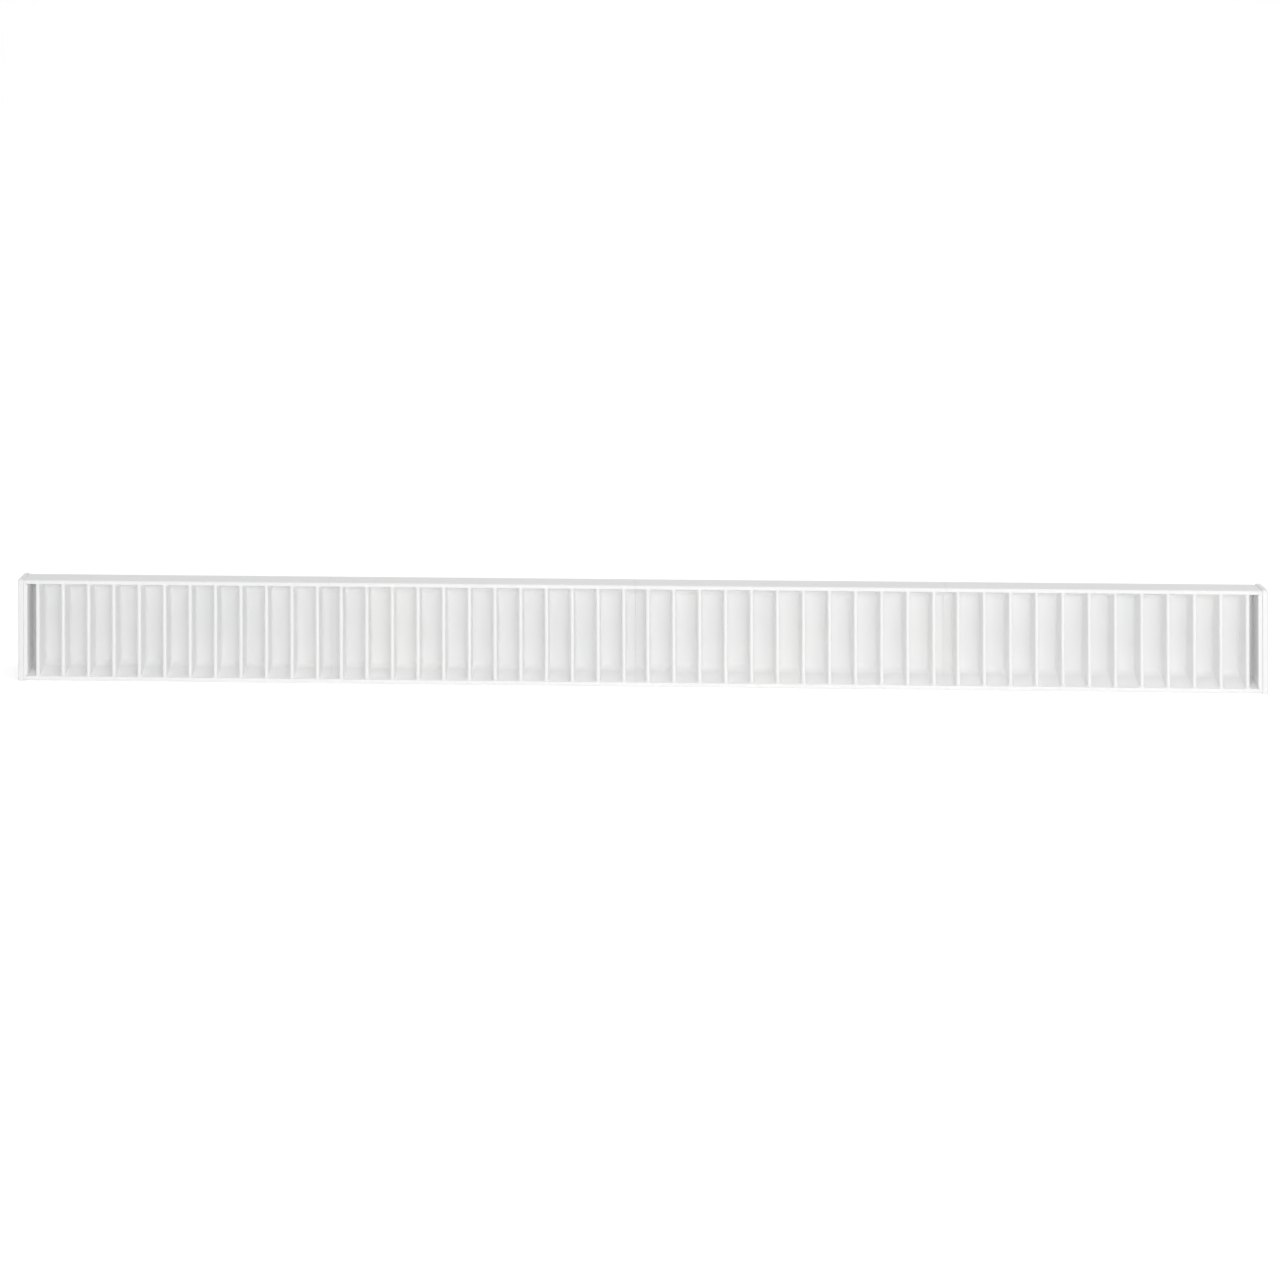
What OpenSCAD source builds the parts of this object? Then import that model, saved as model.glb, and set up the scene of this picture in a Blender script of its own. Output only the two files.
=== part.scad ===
// Low-profile electric baseboard heater.
// Four finned aluminium sections stand end to end in front. A sheathed heating element is clamped in
// grooves on their backs, inside a shallow steel casing that hangs on two wall brackets.
//
// Frame: X runs along the heater, Y from the front to the wall, Z up.
// The origin is the middle of the length and depth, at the lowest edge of the end caps.

/* [Finned sections] */
// Length of one finned section
section_len = 304.8; // [296:0.1:320]
// Height of the sections
tray_h = 100; // [100:0.1:120]
// Depth of the sections, from the lips to the back of the base plate
tray_d = 38; // [34:0.5:50]
// Thickness of the base plate behind the fins
base_t = 3; // [2.5:0.1:4]
// Thickness of the top and bottom walls
wall_t = 4; // [3.5:0.1:5]
// How far the top and bottom walls slope inwards towards the base plate
wall_rise = 5; // [0:0.5:6]
// Radius inside the back corners of the tray
root_r = 8; // [7:0.5:9]

/* [Fins] */
// Fins on one section
fin_count = 12; // [6:1:12]
// Distance from one fin to the next
fin_pitch = 25.55; // [18:0.05:25.6]
// Fin thickness at the nose
fin_nose_t = 4; // [2:0.1:4.2]
// Fin thickness where it meets the base plate
fin_root_t = 4.6; // [4.2:0.1:5]
// Setback of the fin noses behind the lips
fin_setback = 2; // [0:0.1:4]

/* [Ends] */
// Thickness of the end plates that close the outermost sections
end_plate_t = 2; // [1.5:0.1:3]
// How far the plug on an end plate reaches into its section
plug_depth = 1.9; // [1:0.1:4]
// Width of an end cap, seen from the front
cap_w = 5.2; // [5:0.1:10]
// How far an end cap stands proud of the sections all round
cap_proud = 1.2; // [0.5:0.1:1.5]
// Wall thickness of the end caps
cap_t = 2.2; // [2:0.1:2.5]

/* [Rear casing] */
// Height of the casing
casing_h = 76; // [76:0.5:80]
// Depth of the casing behind the sections
casing_d = 22; // [22:0.1:26]
// Thickness of the casing's sheet steel
sheet_t = 1.2; // [1:0.1:1.5]
// Gap that the wall brackets hold between the casing and the wall
wall_gap = 2.5; // [2.5:0.1:3]

/* [Heating element] */
// Radius of the element's sheath
element_r = 4; // [3.5:0.1:4]
// Distance between the element's two legs
leg_spacing = 38; // [38:0.5:40]

/* [Wall brackets] */
// Distance between the middles of the two brackets
bracket_spacing = 812.8; // [700:0.1:850]
// Distance between the two screw holes of a bracket
bracket_hole_spacing = 34; // [30:1:36]
// Radius of a wall screw hole
bracket_hole_r = 2.75; // [2:0.05:3]

/* [Hidden] */

$fn = 48;
eps = 0.5;          // how far joined shapes run into each other
slip = 0.05;        // radial clearance of pins and screws in their holes
seam = 0.1;         // gap between neighbouring sections

// Layout along X
section_count = 4;
span = section_count * section_len;
half_span = span / 2;
function section_x(i) = (i - (section_count + 1) / 2) * section_len;
function mirrored(v) = [-v, v];

// Layout along Y, from the front of the lips
pocket_d = tray_d - base_t;
groove_y = tray_d + 7;                  // faces of the ribs, and axis of the element
casing_back = tray_d + casing_d;
casing_inside = casing_back - sheet_t;
wall_y = casing_back + wall_gap;
mid_y = (wall_y - cap_proud) / 2;

// Layout along Z, from the lowest edge of the end caps
mid_z = cap_proud + tray_h / 2;
leg_z = leg_spacing / 2;

// ---------------------------------------------------------------- helpers

// Places a part that is drawn with Y from the front of the lips into the row's frame.
module in_frame() translate([0, -mid_y, 0]) children();

// Extrudes an outline drawn in Y and Z along X.
module extrude_x(x0, x1) translate([x0, 0, 0]) rotate([90, 0, 90]) linear_extrude(x1 - x0) children();

module rod_x(r, x0, x1, y, z) translate([x0, y, z]) rotate([0, 90, 0]) cylinder(r = r, h = x1 - x0);
module rod_y(r, x, y0, y1, z) translate([x, y0, z]) rotate([-90, 0, 0]) cylinder(r = r, h = y1 - y0);
module rod_z(r, x, y, z0, z1) translate([x, y, z0]) cylinder(r = r, h = z1 - z0);

// A block from one corner to the opposite one.
module block(a, b) translate(a) cube(b - a);

// A rectangle with rounded corners, from one corner to the opposite one.
module round_rect(a, b, r) {
    translate([a.x + r, a.y]) square([b.x - a.x - 2 * r, b.y - a.y]);
    translate([a.x, a.y + r]) square([b.x - a.x, b.y - a.y - 2 * r]);
    for (x = [a.x + r, b.x - r], y = [a.y + r, b.y - r])
        translate([x, y]) circle(r);
}

// A pan-head screw whose shank runs towards -Y from under its head at y.
module screw_y(x, y, z, shank_r, shank_len, head_r, head_h) {
    drive_w = 0.35 * head_r;
    rod_y(shank_r, x, y - shank_len, y + eps, z);
    difference() {
        rod_y(head_r, x, y, y + head_h, z);
        for (arm = [[0.65 * head_r, drive_w / 2], [drive_w / 2, 0.65 * head_r]])
            block([x - arm.x, y + 0.45 * head_h, z - arm.y], [x + arm.x, y + head_h + 1, z + arm.y]);
    }
}

// A wire of radius r along a list of points.
module wire(points, r) {
    for (i = [0 : len(points) - 2]) {
        a = points[i];
        d = points[i + 1] - a;
        translate(a) rotate([0, acos(d.z / norm(d)), atan2(d.y, d.x)]) cylinder(r = r, h = norm(d));
    }
    for (i = [1 : len(points) - 2]) translate(points[i]) sphere(r = 1.03 * r);
}

// ---------------------------------------------------------------- finned sections

rib_h = 14;                             // height of an element rib, across the leg
rib_half_len = 100;                     // half the length of the ribs
clamp_x = 76;                           // clamp stations, from the middle of a section
clamp_z = leg_z + 11.5;                 // clamp screws, from mid height
splice_x = 12;                          // splice screws, from a seam
splice_z = 7.5;                         // the same, from mid height
joint_y = tray_d + 4.5;                 // dowel and cap screw holes
joint_z = 31;                           // the same, from mid height
joint_r = 2;                            // radius of dowels and cap screws
joint_depth = 15;
joint_boss_r = 4.5;
boss_r = 4;
ground_x = 118;                         // ground boss, from the middle of a section
ground_z = -clamp_z;
pilot_r = 1.65;                         // pilot holes for clamp, splice and ground screws
flange_pilot_r = 1.5;
flange_screw_x = 110;                   // casing screws, from the middle of a section
flange_screw_z = tray_h / 2 - 5.4;      // the same, from mid height

// Places of the screw bosses on the back of a section: X from its middle, Z from mid height.
boss_places = concat([[ground_x, ground_z]],
    [for (x = mirrored(clamp_x), z = mirrored(clamp_z)) [x, z]],
    [for (x = mirrored(section_len / 2 - splice_x), z = mirrored(splice_z)) [x, z]]);

// Outside of a section in Y and Z, with rounded front edges.
module tray_outline() {
    edge_r = 1.5;
    translate([edge_r, 0]) square([tray_d - edge_r, tray_h]);
    translate([0, edge_r]) square([2 * edge_r, tray_h - 2 * edge_r]);
    for (z = [edge_r, tray_h - edge_r]) translate([edge_r, z]) circle(edge_r);
}

// Room inside a section in Y and Z, made smaller all round by gap and starting at front.
// Behind the fin noses its top and bottom slope inwards, and run into round back corners.
module tray_pocket(front, gap) {
    half_h = tray_h / 2 - wall_t - gap;
    slope_y = fin_setback + fin_nose_t / 2;
    corner_r = root_r - gap;
    corner = [pocket_d - root_r, tray_h / 2 - wall_t - wall_rise - root_r];
    run = corner - [slope_y, half_h];
    slope = atan2(-run.y, run.x) - asin(corner_r / norm(run));
    bend = corner + corner_r * [sin(slope), cos(slope)];
    translate([0, tray_h / 2]) {
        polygon([[front, -half_h], [slope_y, -half_h], [bend.x, -bend.y], bend, [slope_y, half_h],
            [front, half_h]]);
        translate([corner.x, -corner.y]) square([corner_r, 2 * corner.y]);
        for (z = mirrored(corner.y)) translate([corner.x, z]) circle(corner_r);
    }
}

// Cross-section of a fin in X and Y: round nose, slight taper, filleted root.
module fin_outline() {
    nose_r = fin_nose_t / 2;
    nose_y = fin_setback + nose_r;
    half_root = fin_root_t / 2;
    fillet = 3;
    translate([0, nose_y]) circle(nose_r);
    polygon([[-nose_r, nose_y], [nose_r, nose_y], [half_root, pocket_d + eps], [-half_root, pocket_d + eps]]);
    for (side = mirrored(1)) scale([side, 1]) difference() {
        translate([half_root - eps, pocket_d - fillet]) square([fillet + eps, fillet + eps]);
        translate([half_root + fillet, pocket_d - fillet]) circle(fillet);
    }
}

// Grooved ribs and screw bosses on the back of a section.
module section_back(half_len) {
    for (side = mirrored(1)) {
        leg = mid_z + side * leg_z;
        joint = mid_z + side * joint_z;
        block([-rib_half_len, tray_d - eps, leg - rib_h / 2], [rib_half_len, groove_y, leg + rib_h / 2]);
        for (x0 = [-half_len, half_len - joint_depth - 2]) {
            rod_x(joint_boss_r, x0, x0 + joint_depth + 2, joint_y, joint);
            block([x0, tray_d - eps, joint - joint_boss_r],
                [x0 + joint_depth + 2, joint_y, joint + joint_boss_r]);
        }
    }
    for (place = boss_places) rod_y(boss_r, place[0], tray_d - eps, groove_y, mid_z + place[1]);
}

// Holes in the back and ends of a section.
module section_holes(half_len) {
    for (side = mirrored(1)) {
        rod_x(element_r + slip, -half_len, half_len, groove_y, mid_z + side * leg_z);
        rod_x(joint_r + slip, -half_len - 1, -half_len + joint_depth, joint_y, mid_z + side * joint_z);
        rod_x(joint_r + slip, half_len - joint_depth, half_len + 1, joint_y, mid_z + side * joint_z);
        for (x = mirrored(flange_screw_x))
            rod_y(flange_pilot_r, x, tray_d - 3.9, tray_d + 1, mid_z + side * flange_screw_z);
    }
    for (place = boss_places) rod_y(pilot_r, place[0], tray_d - 1, groove_y + 1, mid_z + place[1]);
}

module finned_section(index) {
    half_len = (section_len - seam) / 2;
    fin_half_h = tray_h / 2 - wall_t + eps;
    color("white") translate([section_x(index), 0, 0]) difference() {
        union() {
            translate([0, 0, cap_proud]) extrude_x(-half_len, half_len) difference() {
                tray_outline();
                tray_pocket(-1, 0);
            }
            for (i = [0 : fin_count - 1])
                translate([(i - (fin_count - 1) / 2) * fin_pitch, 0, mid_z - fin_half_h])
                    linear_extrude(2 * fin_half_h) fin_outline();
            section_back(half_len);
        }
        section_holes(half_len);
    }
}

module dowel_pins() {
    color("silver") for (i = [1 : section_count - 1], side = mirrored(1)) {
        x = section_x(i) + section_len / 2;
        rod_x(joint_r, x - 12, x + 12, joint_y, mid_z + side * joint_z);
    }
}

splice_t = 2;
splice_screw_r = pilot_r - slip;

module splice_plates() {
    half_w = splice_x + 7;
    half_h = 11;
    color("silver") for (i = [1 : section_count - 1]) translate([section_x(i) + section_len / 2, 0, mid_z])
        difference() {
            translate([0, groove_y + slip, 0]) mirror([0, 1, 0]) rotate([90, 0, 0])
                linear_extrude(splice_t) round_rect([-half_w, -half_h], [half_w, half_h], 2);
            for (x = mirrored(splice_x), z = mirrored(splice_z)) rod_y(1.8, x, groove_y - 1, groove_y + 4, z);
        }
}

module splice_screws() {
    color("silver") for (i = [1 : section_count - 1], x = mirrored(splice_x), z = mirrored(splice_z))
        screw_y(section_x(i) + section_len / 2 + x, groove_y + slip + splice_t + slip, mid_z + z,
            splice_screw_r, 7.5, 3, 1.6);
}

// ---------------------------------------------------------------- end plates and end caps

plate_inner = half_span;                // inner face of the right end plate
cap_inner = plate_inner + end_plate_t + 0.1;
cap_outer = cap_inner + cap_w;
cap_screw_hole_r = joint_r + 0.2;
cap_screw_cone_h = 2.2;

// Side view of the row, grown all round by grow: the sections' outline joined to the casing's.
module row_outline(grow, r) {
    half_tray = tray_h / 2 + grow;
    half_casing = casing_h / 2 + grow;
    round_rect([-grow, mid_z - half_tray], [tray_d + grow, mid_z + half_tray], r);
    round_rect([tray_d - 4 * r, mid_z - half_casing], [casing_back + grow, mid_z + half_casing], r);
}

module end_plate() {
    plug_gap = 0.15;
    color("white") difference() {
        union() {
            extrude_x(plate_inner, plate_inner + end_plate_t) row_outline(0, 1.5);
            translate([0, 0, cap_proud]) extrude_x(plate_inner - plug_depth, plate_inner + eps)
                tray_pocket(0, plug_gap);
        }
        for (side = mirrored(1))
            rod_x(cap_screw_hole_r, plate_inner - 1, cap_inner, joint_y, mid_z + side * joint_z);
    }
}

module end_cap() {
    color("white") difference() {
        union() {
            difference() {
                extrude_x(cap_inner, cap_outer) row_outline(cap_proud, 3);
                extrude_x(cap_inner - 1, cap_outer - cap_t) row_outline(cap_proud - cap_t, 1.5);
            }
            for (side = mirrored(1)) rod_x(boss_r, cap_inner, cap_outer - 1, joint_y, mid_z + side * joint_z);
        }
        for (side = mirrored(1)) translate([0, joint_y, mid_z + side * joint_z]) rotate([0, 90, 0]) {
            translate([0, 0, cap_inner - 1]) cylinder(r = cap_screw_hole_r, h = cap_w + 2);
            translate([0, 0, cap_outer - cap_screw_cone_h])
                cylinder(r1 = cap_screw_hole_r, r2 = cap_screw_hole_r + 1.8, h = cap_screw_cone_h + 0.01);
        }
    }
}

// Countersunk screws that hold an end cap and its end plate to the outermost section.
module cap_screws() {
    thread_len = 12;
    head_top = cap_outer - 0.2;
    head_h = cap_screw_cone_h - 0.2;
    recess = 1.2;
    color("silver") for (side = mirrored(1))
        translate([0, joint_y, mid_z + side * joint_z]) rotate([0, 90, 0]) difference() {
            union() {
                translate([0, 0, plate_inner - thread_len])
                    cylinder(r = joint_r, h = thread_len + head_top - plate_inner - 1);
                translate([0, 0, head_top - head_h]) cylinder(r1 = joint_r, r2 = joint_r + 1.6, h = head_h);
            }
            for (arm = [[2.2, 0.45], [0.45, 2.2]]) translate([-arm.x, -arm.y, head_top - recess])
                cube([2 * arm.x, 2 * arm.y, recess + 1]);
        }
}

module end_plate_right() end_plate();
module end_plate_left() mirror([1, 0, 0]) end_plate();
module end_cap_right() end_cap();
module end_cap_left() mirror([1, 0, 0]) end_cap();
module right_cap_screws() cap_screws();
module left_cap_screws() mirror([1, 0, 0]) cap_screws();

// ---------------------------------------------------------------- heating element

leg_left = -half_span + 45;             // where the hairpin bend starts
leg_right = half_span - 144;            // where the sheath ends
bush_len = 9;
pin_r = 1.6;
pin_len = 17;

module heating_element() {
    color("dimgray") {
        for (side = mirrored(1)) rod_x(element_r, leg_left, leg_right, groove_y, mid_z + side * leg_z);
        translate([leg_left, groove_y, mid_z]) rotate([90, 0, 0]) rotate([0, 0, 90])
            rotate_extrude(angle = 180) translate([leg_z, 0]) circle(element_r);
    }
}

module element_bushes() {
    color("wheat") for (side = mirrored(1)) difference() {
        rod_x(element_r, leg_right, leg_right + bush_len, groove_y, mid_z + side * leg_z);
        rod_x(pin_r + slip, leg_right - 1, leg_right + bush_len + 1, groove_y, mid_z + side * leg_z);
    }
}

module element_pins() {
    color("silver") for (side = mirrored(1))
        rod_x(pin_r, leg_right + slip, leg_right + pin_len, groove_y, mid_z + side * leg_z);
}

// Stations where a strap clamps the element; the last boss pair carries the terminal plate instead.
stations = [for (i = [1 : section_count], side = [-1, 1])
    if (i < section_count || side < 0) section_x(i) + side * clamp_x];
strap_y = groove_y + 0.1;

// Outline of a strap in Y and Z, from mid height: flat feet, and a half-round arch over each leg.
module strap_outline() {
    gap = 0.15;
    inner_r = element_r + gap;
    outer_r = inner_r + sheet_t;
    half_h = clamp_z + 4;
    difference() {
        union() {
            translate([strap_y, -half_h]) square([sheet_t, 2 * half_h]);
            for (z = mirrored(leg_z)) translate([groove_y, z]) circle(outer_r);
        }
        for (z = mirrored(leg_z)) translate([groove_y, z]) circle(inner_r);
        translate([0, -half_h - 1]) square([strap_y, 2 * half_h + 2]);
    }
}

module element_clamps() {
    half_w = 6;
    color("silver") for (x = stations) translate([x, 0, mid_z]) difference() {
        extrude_x(-half_w, half_w) strap_outline();
        for (z = mirrored(clamp_z)) rod_y(1.8, 0, groove_y - 1, groove_y + 4, z);
    }
}

module clamp_screws() {
    color("silver") for (x = stations, z = mirrored(clamp_z))
        screw_y(x, strap_y + sheet_t + slip, mid_z + z, pilot_r - slip, 7.5, 3, 1.8);
}

// ---------------------------------------------------------------- thermal cutout and terminals

bulkhead_x = half_span - 160;
plate_x = section_x(section_count) + clamp_x;   // bosses that carry the terminal plate
plate_y = groove_y + 0.1;
plate_t = 1.5;
deck_y = plate_y + plate_t + slip;              // where the cutout and terminal block sit
cutout_x = plate_x - 14;
cutout_z = mid_z + 15;
block_x = plate_x - 2;
block_z = mid_z - 15;
block_w = 46;
block_h = 22;
pole_pitch = 14;

cutout_h = 7;
tube_r = 1.2;
tube_y = deck_y + cutout_h / 2;

module sensing_tube() {
    start_y = tray_d + 3;
    lift_x = bulkhead_x + 14;
    color("peru") wire([[-half_span + 60, start_y, mid_z], [lift_x, start_y, mid_z],
        [lift_x + 12, tube_y, mid_z + 6], [cutout_x - 18 - slip, tube_y, cutout_z]], tube_r);
}

tab_x = 10;                             // blade terminals of the cutout, from its middle
tab_half_t = 0.5;

module thermal_cutout() {
    half_w = 18;
    half_h = 9;
    color("darkslategray") difference() {
        block([cutout_x - half_w, deck_y, cutout_z - half_h],
            [cutout_x + half_w, deck_y + cutout_h, cutout_z + half_h]);
        rod_x(tube_r + slip, cutout_x - half_w - 1, cutout_x - 10, tube_y, cutout_z);
    }
    color("gold") for (x = mirrored(tab_x))
        block([cutout_x + x - 3, deck_y + cutout_h - eps, cutout_z - tab_half_t],
            [cutout_x + x + 3, casing_inside - 1.5, cutout_z + tab_half_t]);
}

module terminal_plate() {
    half_w = 34;
    half_h = 35.5;
    color("silver") difference() {
        translate([plate_x, plate_y, mid_z]) mirror([0, 1, 0]) rotate([90, 0, 0]) linear_extrude(plate_t)
            round_rect([-half_w, -half_h], [half_w, half_h], 3);
        for (z = mirrored(clamp_z)) rod_y(1.8, plate_x, plate_y - 1, plate_y + 3, mid_z + z);
    }
}

module plate_screws() {
    color("silver") for (z = mirrored(clamp_z))
        screw_y(plate_x, plate_y + plate_t + slip, mid_z + z, pilot_r - slip, 7.5, 3, 1.8);
}

function pole_x(i) = block_x + (i - 1) * pole_pitch;

module terminal_block() {
    h = 9;
    color("ivory") difference() {
        block([block_x - block_w / 2, deck_y, block_z - block_h / 2],
            [block_x + block_w / 2, deck_y + h, block_z + block_h / 2]);
        for (i = [0 : 2], z = mirrored(5.5)) {
            rod_y(2.4, pole_x(i), deck_y + h - 3, deck_y + h + 1, block_z + z);
            rod_y(1.2, pole_x(i), deck_y + 2, deck_y + h + 1, block_z + z);
        }
        for (i = [0 : 2], side = mirrored(1))
            rod_z(1.8, pole_x(i), deck_y + 3.6, block_z + side * (block_h / 2 + 1) - 3.5,
                block_z + side * (block_h / 2 + 1) + 3.5);
        for (i = [0 : 1])
            block([pole_x(i) + pole_pitch / 2 - 0.6, deck_y + 6, block_z - block_h],
                [pole_x(i) + pole_pitch / 2 + 0.6, deck_y + h + 1, block_z + block_h]);
    }
}

module terminal_screws() {
    color("gold") for (i = [0 : 2], z = mirrored(5.5))
        screw_y(pole_x(i), deck_y + 6 + slip, block_z + z, 1.1, 3.5, 2.2, 1.8);
}

lead_r = 1.4;
pin_tip = leg_right + pin_len + slip;
pole_y = deck_y + 3.6;                  // wire holes of the terminal block
pole_top = block_z + block_h / 2;
pole_stop = pole_top - 2.4;             // where a wire ends inside its hole
tab_y = deck_y + cutout_h + lead_r + 0.2;

module lead_element_to_cutout() {
    z = mid_z + leg_z;
    x = cutout_x - tab_x;
    color("black") wire([[pin_tip, groove_y, z], [pin_tip + 3, groove_y, z],
        [pin_tip + 20, tab_y - 1, z + 11], [x, tab_y, z + 8],
        [x, tab_y, cutout_z + tab_half_t + slip]], lead_r);
}

module lead_cutout_to_block() {
    x = cutout_x + tab_x;
    color("red") wire([[x, tab_y, cutout_z - tab_half_t - slip], [x, tab_y, cutout_z - 11],
        [pole_x(1), pole_y + 2, pole_top + 5], [pole_x(1), pole_y, pole_top + 2],
        [pole_x(1), pole_y, pole_stop]], lead_r);
}

module lead_element_to_block() {
    z = mid_z - leg_z;
    color("black") wire([[pin_tip, groove_y, z], [pin_tip + 3, groove_y, z],
        [pin_tip + 14, pole_y + 1, block_z + 12], [pole_x(0) - 4, pole_y + 2, pole_top + 6],
        [pole_x(0), pole_y, pole_top + 3], [pole_x(0), pole_y, pole_stop]], lead_r);
}

ground_row_x = section_x(section_count) + ground_x;
washer_r = 4;
washer_t = 1.2;

module ground_lead() {
    y = groove_y + slip + lead_r;
    color("green") wire([[pole_x(2), pole_y, pole_stop], [pole_x(2), pole_y, pole_top + 5],
        [ground_row_x, pole_y, mid_z - 9], [ground_row_x, y, mid_z + ground_z + washer_r + slip]], lead_r);
}

module ground_screw() {
    color("seagreen") {
        screw_y(ground_row_x, groove_y + washer_t + 2 * slip, mid_z + ground_z, pilot_r - slip, 7.5, 3.2, 2);
        difference() {
            rod_y(washer_r, ground_row_x, groove_y + slip, groove_y + slip + washer_t, mid_z + ground_z);
            rod_y(1.8, ground_row_x, groove_y - 1, groove_y + 3, mid_z + ground_z);
        }
    }
}

// ---------------------------------------------------------------- inside the casing

// Sheet-steel wall between the element space and the wiring space, notched over the section's back.
module bulkhead() {
    gap = 0.6;
    half_h = casing_h / 2 - sheet_t - gap;
    color("silver") difference() {
        block([bulkhead_x, tray_d + gap, mid_z - half_h],
            [bulkhead_x + sheet_t, casing_inside - gap, mid_z + half_h]);
        for (side = mirrored(1)) {
            leg = mid_z + side * leg_z;
            block([bulkhead_x - 1, tray_d - 1, leg - rib_h / 2 - gap],
                [bulkhead_x + 3, groove_y + gap, leg + rib_h / 2 + gap]);
            rod_x(element_r + gap, bulkhead_x - 1, bulkhead_x + 3, groove_y, leg);
        }
        rod_x(tube_r + gap, bulkhead_x - 1, bulkhead_x + 3, tray_d + 3, mid_z);
    }
}

inner_x0 = -half_span + 12;
inner_x1 = bulkhead_x - 3;
reflector_y = groove_y + 6.5;
window_z0 = -3;                         // room in the blanket round the bracket hooks, from mid height
window_z1 = 26;

// Bright sheet behind the element, with its long edges turned forward.
module reflector() {
    t = 0.6;
    half_h = casing_h / 2 - sheet_t - 1;
    color("gainsboro") extrude_x(inner_x0, inner_x1) {
        translate([reflector_y, mid_z - half_h]) square([t, 2 * half_h]);
        for (z = [mid_z - half_h, mid_z + half_h - t]) translate([reflector_y - 4, z]) square([4 + eps, t]);
    }
}

module insulation_blanket() {
    half_h = casing_h / 2 - sheet_t - 2;
    color("lightyellow") difference() {
        block([inner_x0 + 3, reflector_y + 0.9, mid_z - half_h],
            [inner_x1 - 3, casing_inside - 0.4, mid_z + half_h]);
        for (x = mirrored(bracket_spacing / 2))
            block([x - 34, 0, mid_z + window_z0], [x + 34, casing_back, mid_z + window_z1]);
        for (x = spacer_xs) rod_y(4, x, 0, casing_back, spacer_z);
    }
}

// ---------------------------------------------------------------- rear casing

flange_h = (tray_h - casing_h) / 2 - 2;
knockout_r = 11.1;
bushing_x = bulkhead_x + 29;
knockout_xs = [-half_span + 60, -half_span + 110];

hook_z = mid_z + 14;                    // top of the hook webs, which carry the casing
hook_x = 22;                            // hooks, from the middle of a bracket
hook_w = 12;
lift = 10;                              // how far the heater lifts to come off the hooks

door_x0 = half_span - 104.6;            // opening that the wiring cover fills
door_x1 = half_span - 24;
door_half_h = 28;
hinge_x = door_x0 - 4;
hinge_y = casing_back - 1.4;
hinge_half = 25;
knuckle_r = 2.5;
knuckle_count = 5;
knuckle_len = 2 * hinge_half / knuckle_count;
knuckle_gap = 0.2;
hinge_pin_r = 1.5;

spacer_xs = [-560, -300, 300, half_span - 10];
spacer_z = mid_z - 31;

// Knuckles of the hinge whose index has the given parity, with a bore of radius r and a web to side * reach.
module knuckles(parity, r, side, reach) {
    for (i = [0 : knuckle_count - 1]) if (i % 2 == parity) {
        z0 = mid_z - hinge_half + i * knuckle_len + knuckle_gap;
        z1 = z0 + knuckle_len - 2 * knuckle_gap;
        difference() {
            union() {
                rod_z(knuckle_r, hinge_x, hinge_y, z0, z1);
                block([min(side * 1.7, side * reach) + hinge_x, casing_inside, z0],
                    [max(side * 1.7, side * reach) + hinge_x, casing_back, z1]);
            }
            rod_z(r, hinge_x, hinge_y, z0 - 1, z1 + 1);
        }
    }
}

// Outline of the casing in Y and Z from mid height: a channel with outward flanges and rounded bends.
module casing_outline() {
    half_h = casing_h / 2;
    bend = 2;
    difference() {
        union() {
            round_rect([tray_d - 2 * bend, -half_h], [casing_back, half_h], bend);
            translate([tray_d + slip, -half_h - flange_h]) square([sheet_t, casing_h + 2 * flange_h]);
        }
        translate([0, -half_h + sheet_t]) square([casing_inside - bend, casing_h - 2 * sheet_t]);
        round_rect([tray_d, -half_h + sheet_t], [casing_inside, half_h - sheet_t], bend - sheet_t / 2);
        translate([0, -half_h - 1]) square([tray_d + slip, casing_h + 2]);
    }
}

module casing_openings() {
    block([door_x0, casing_inside - 1, mid_z - door_half_h], [door_x1, casing_back + 1, mid_z + door_half_h]);
    block([hinge_x - 3, casing_inside - 1, mid_z - hinge_half - knuckle_gap],
        [door_x0 + 1, casing_back + 1, mid_z + hinge_half + knuckle_gap]);
    for (x = concat([bushing_x], knockout_xs))
        rod_y(knockout_r, x, casing_inside - 1, casing_back + 1, mid_z);
    for (x = mirrored(bracket_spacing / 2), dx = mirrored(hook_x))
        block([x + dx - hook_w / 2 - 1, casing_inside - 1, hook_z - 2 - lift - 2],
            [x + dx + hook_w / 2 + 1, casing_back + 1, hook_z + slip]);
    for (x = spacer_xs) rod_y(2.5, x, casing_inside - 1, casing_back + 1, spacer_z);
    for (i = [1 : section_count], x = mirrored(flange_screw_x), z = mirrored(flange_screw_z))
        rod_y(1.8, section_x(i) + x, tray_d - 1, tray_d + 3, mid_z + z);
}

ledge_y = casing_inside - 0.3;          // outer face of the ledge behind the cover's free edge
cover_screw_x = door_x1 - 4.5;

module rear_casing() {
    ledge_t = 1.2;
    half_h = 7;
    color("whitesmoke") difference() {
        union() {
            difference() {
                translate([0, 0, mid_z]) extrude_x(-half_span + 0.4, half_span - 0.4) casing_outline();
                casing_openings();
            }
            knuckles(0, hinge_pin_r + 0.02, -1, 4);
            block([door_x1 - 10, ledge_y - ledge_t, mid_z - half_h], [door_x1 + 5, ledge_y, mid_z + half_h]);
            block([door_x1 + 1, ledge_y - ledge_t, mid_z - half_h],
                [door_x1 + 5, casing_inside + eps, mid_z + half_h]);
        }
        rod_y(1.9, cover_screw_x, ledge_y - 3, ledge_y + 1, mid_z);
    }
}

module casing_screws() {
    color("silver") for (i = [1 : section_count], x = mirrored(flange_screw_x), z = mirrored(flange_screw_z))
        screw_y(section_x(i) + x, tray_d + 2 * slip + sheet_t, mid_z + z, flange_pilot_r - slip, 4.8,
            2.9, 1.6);
}

bushing_bore_r = 6.5;

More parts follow.
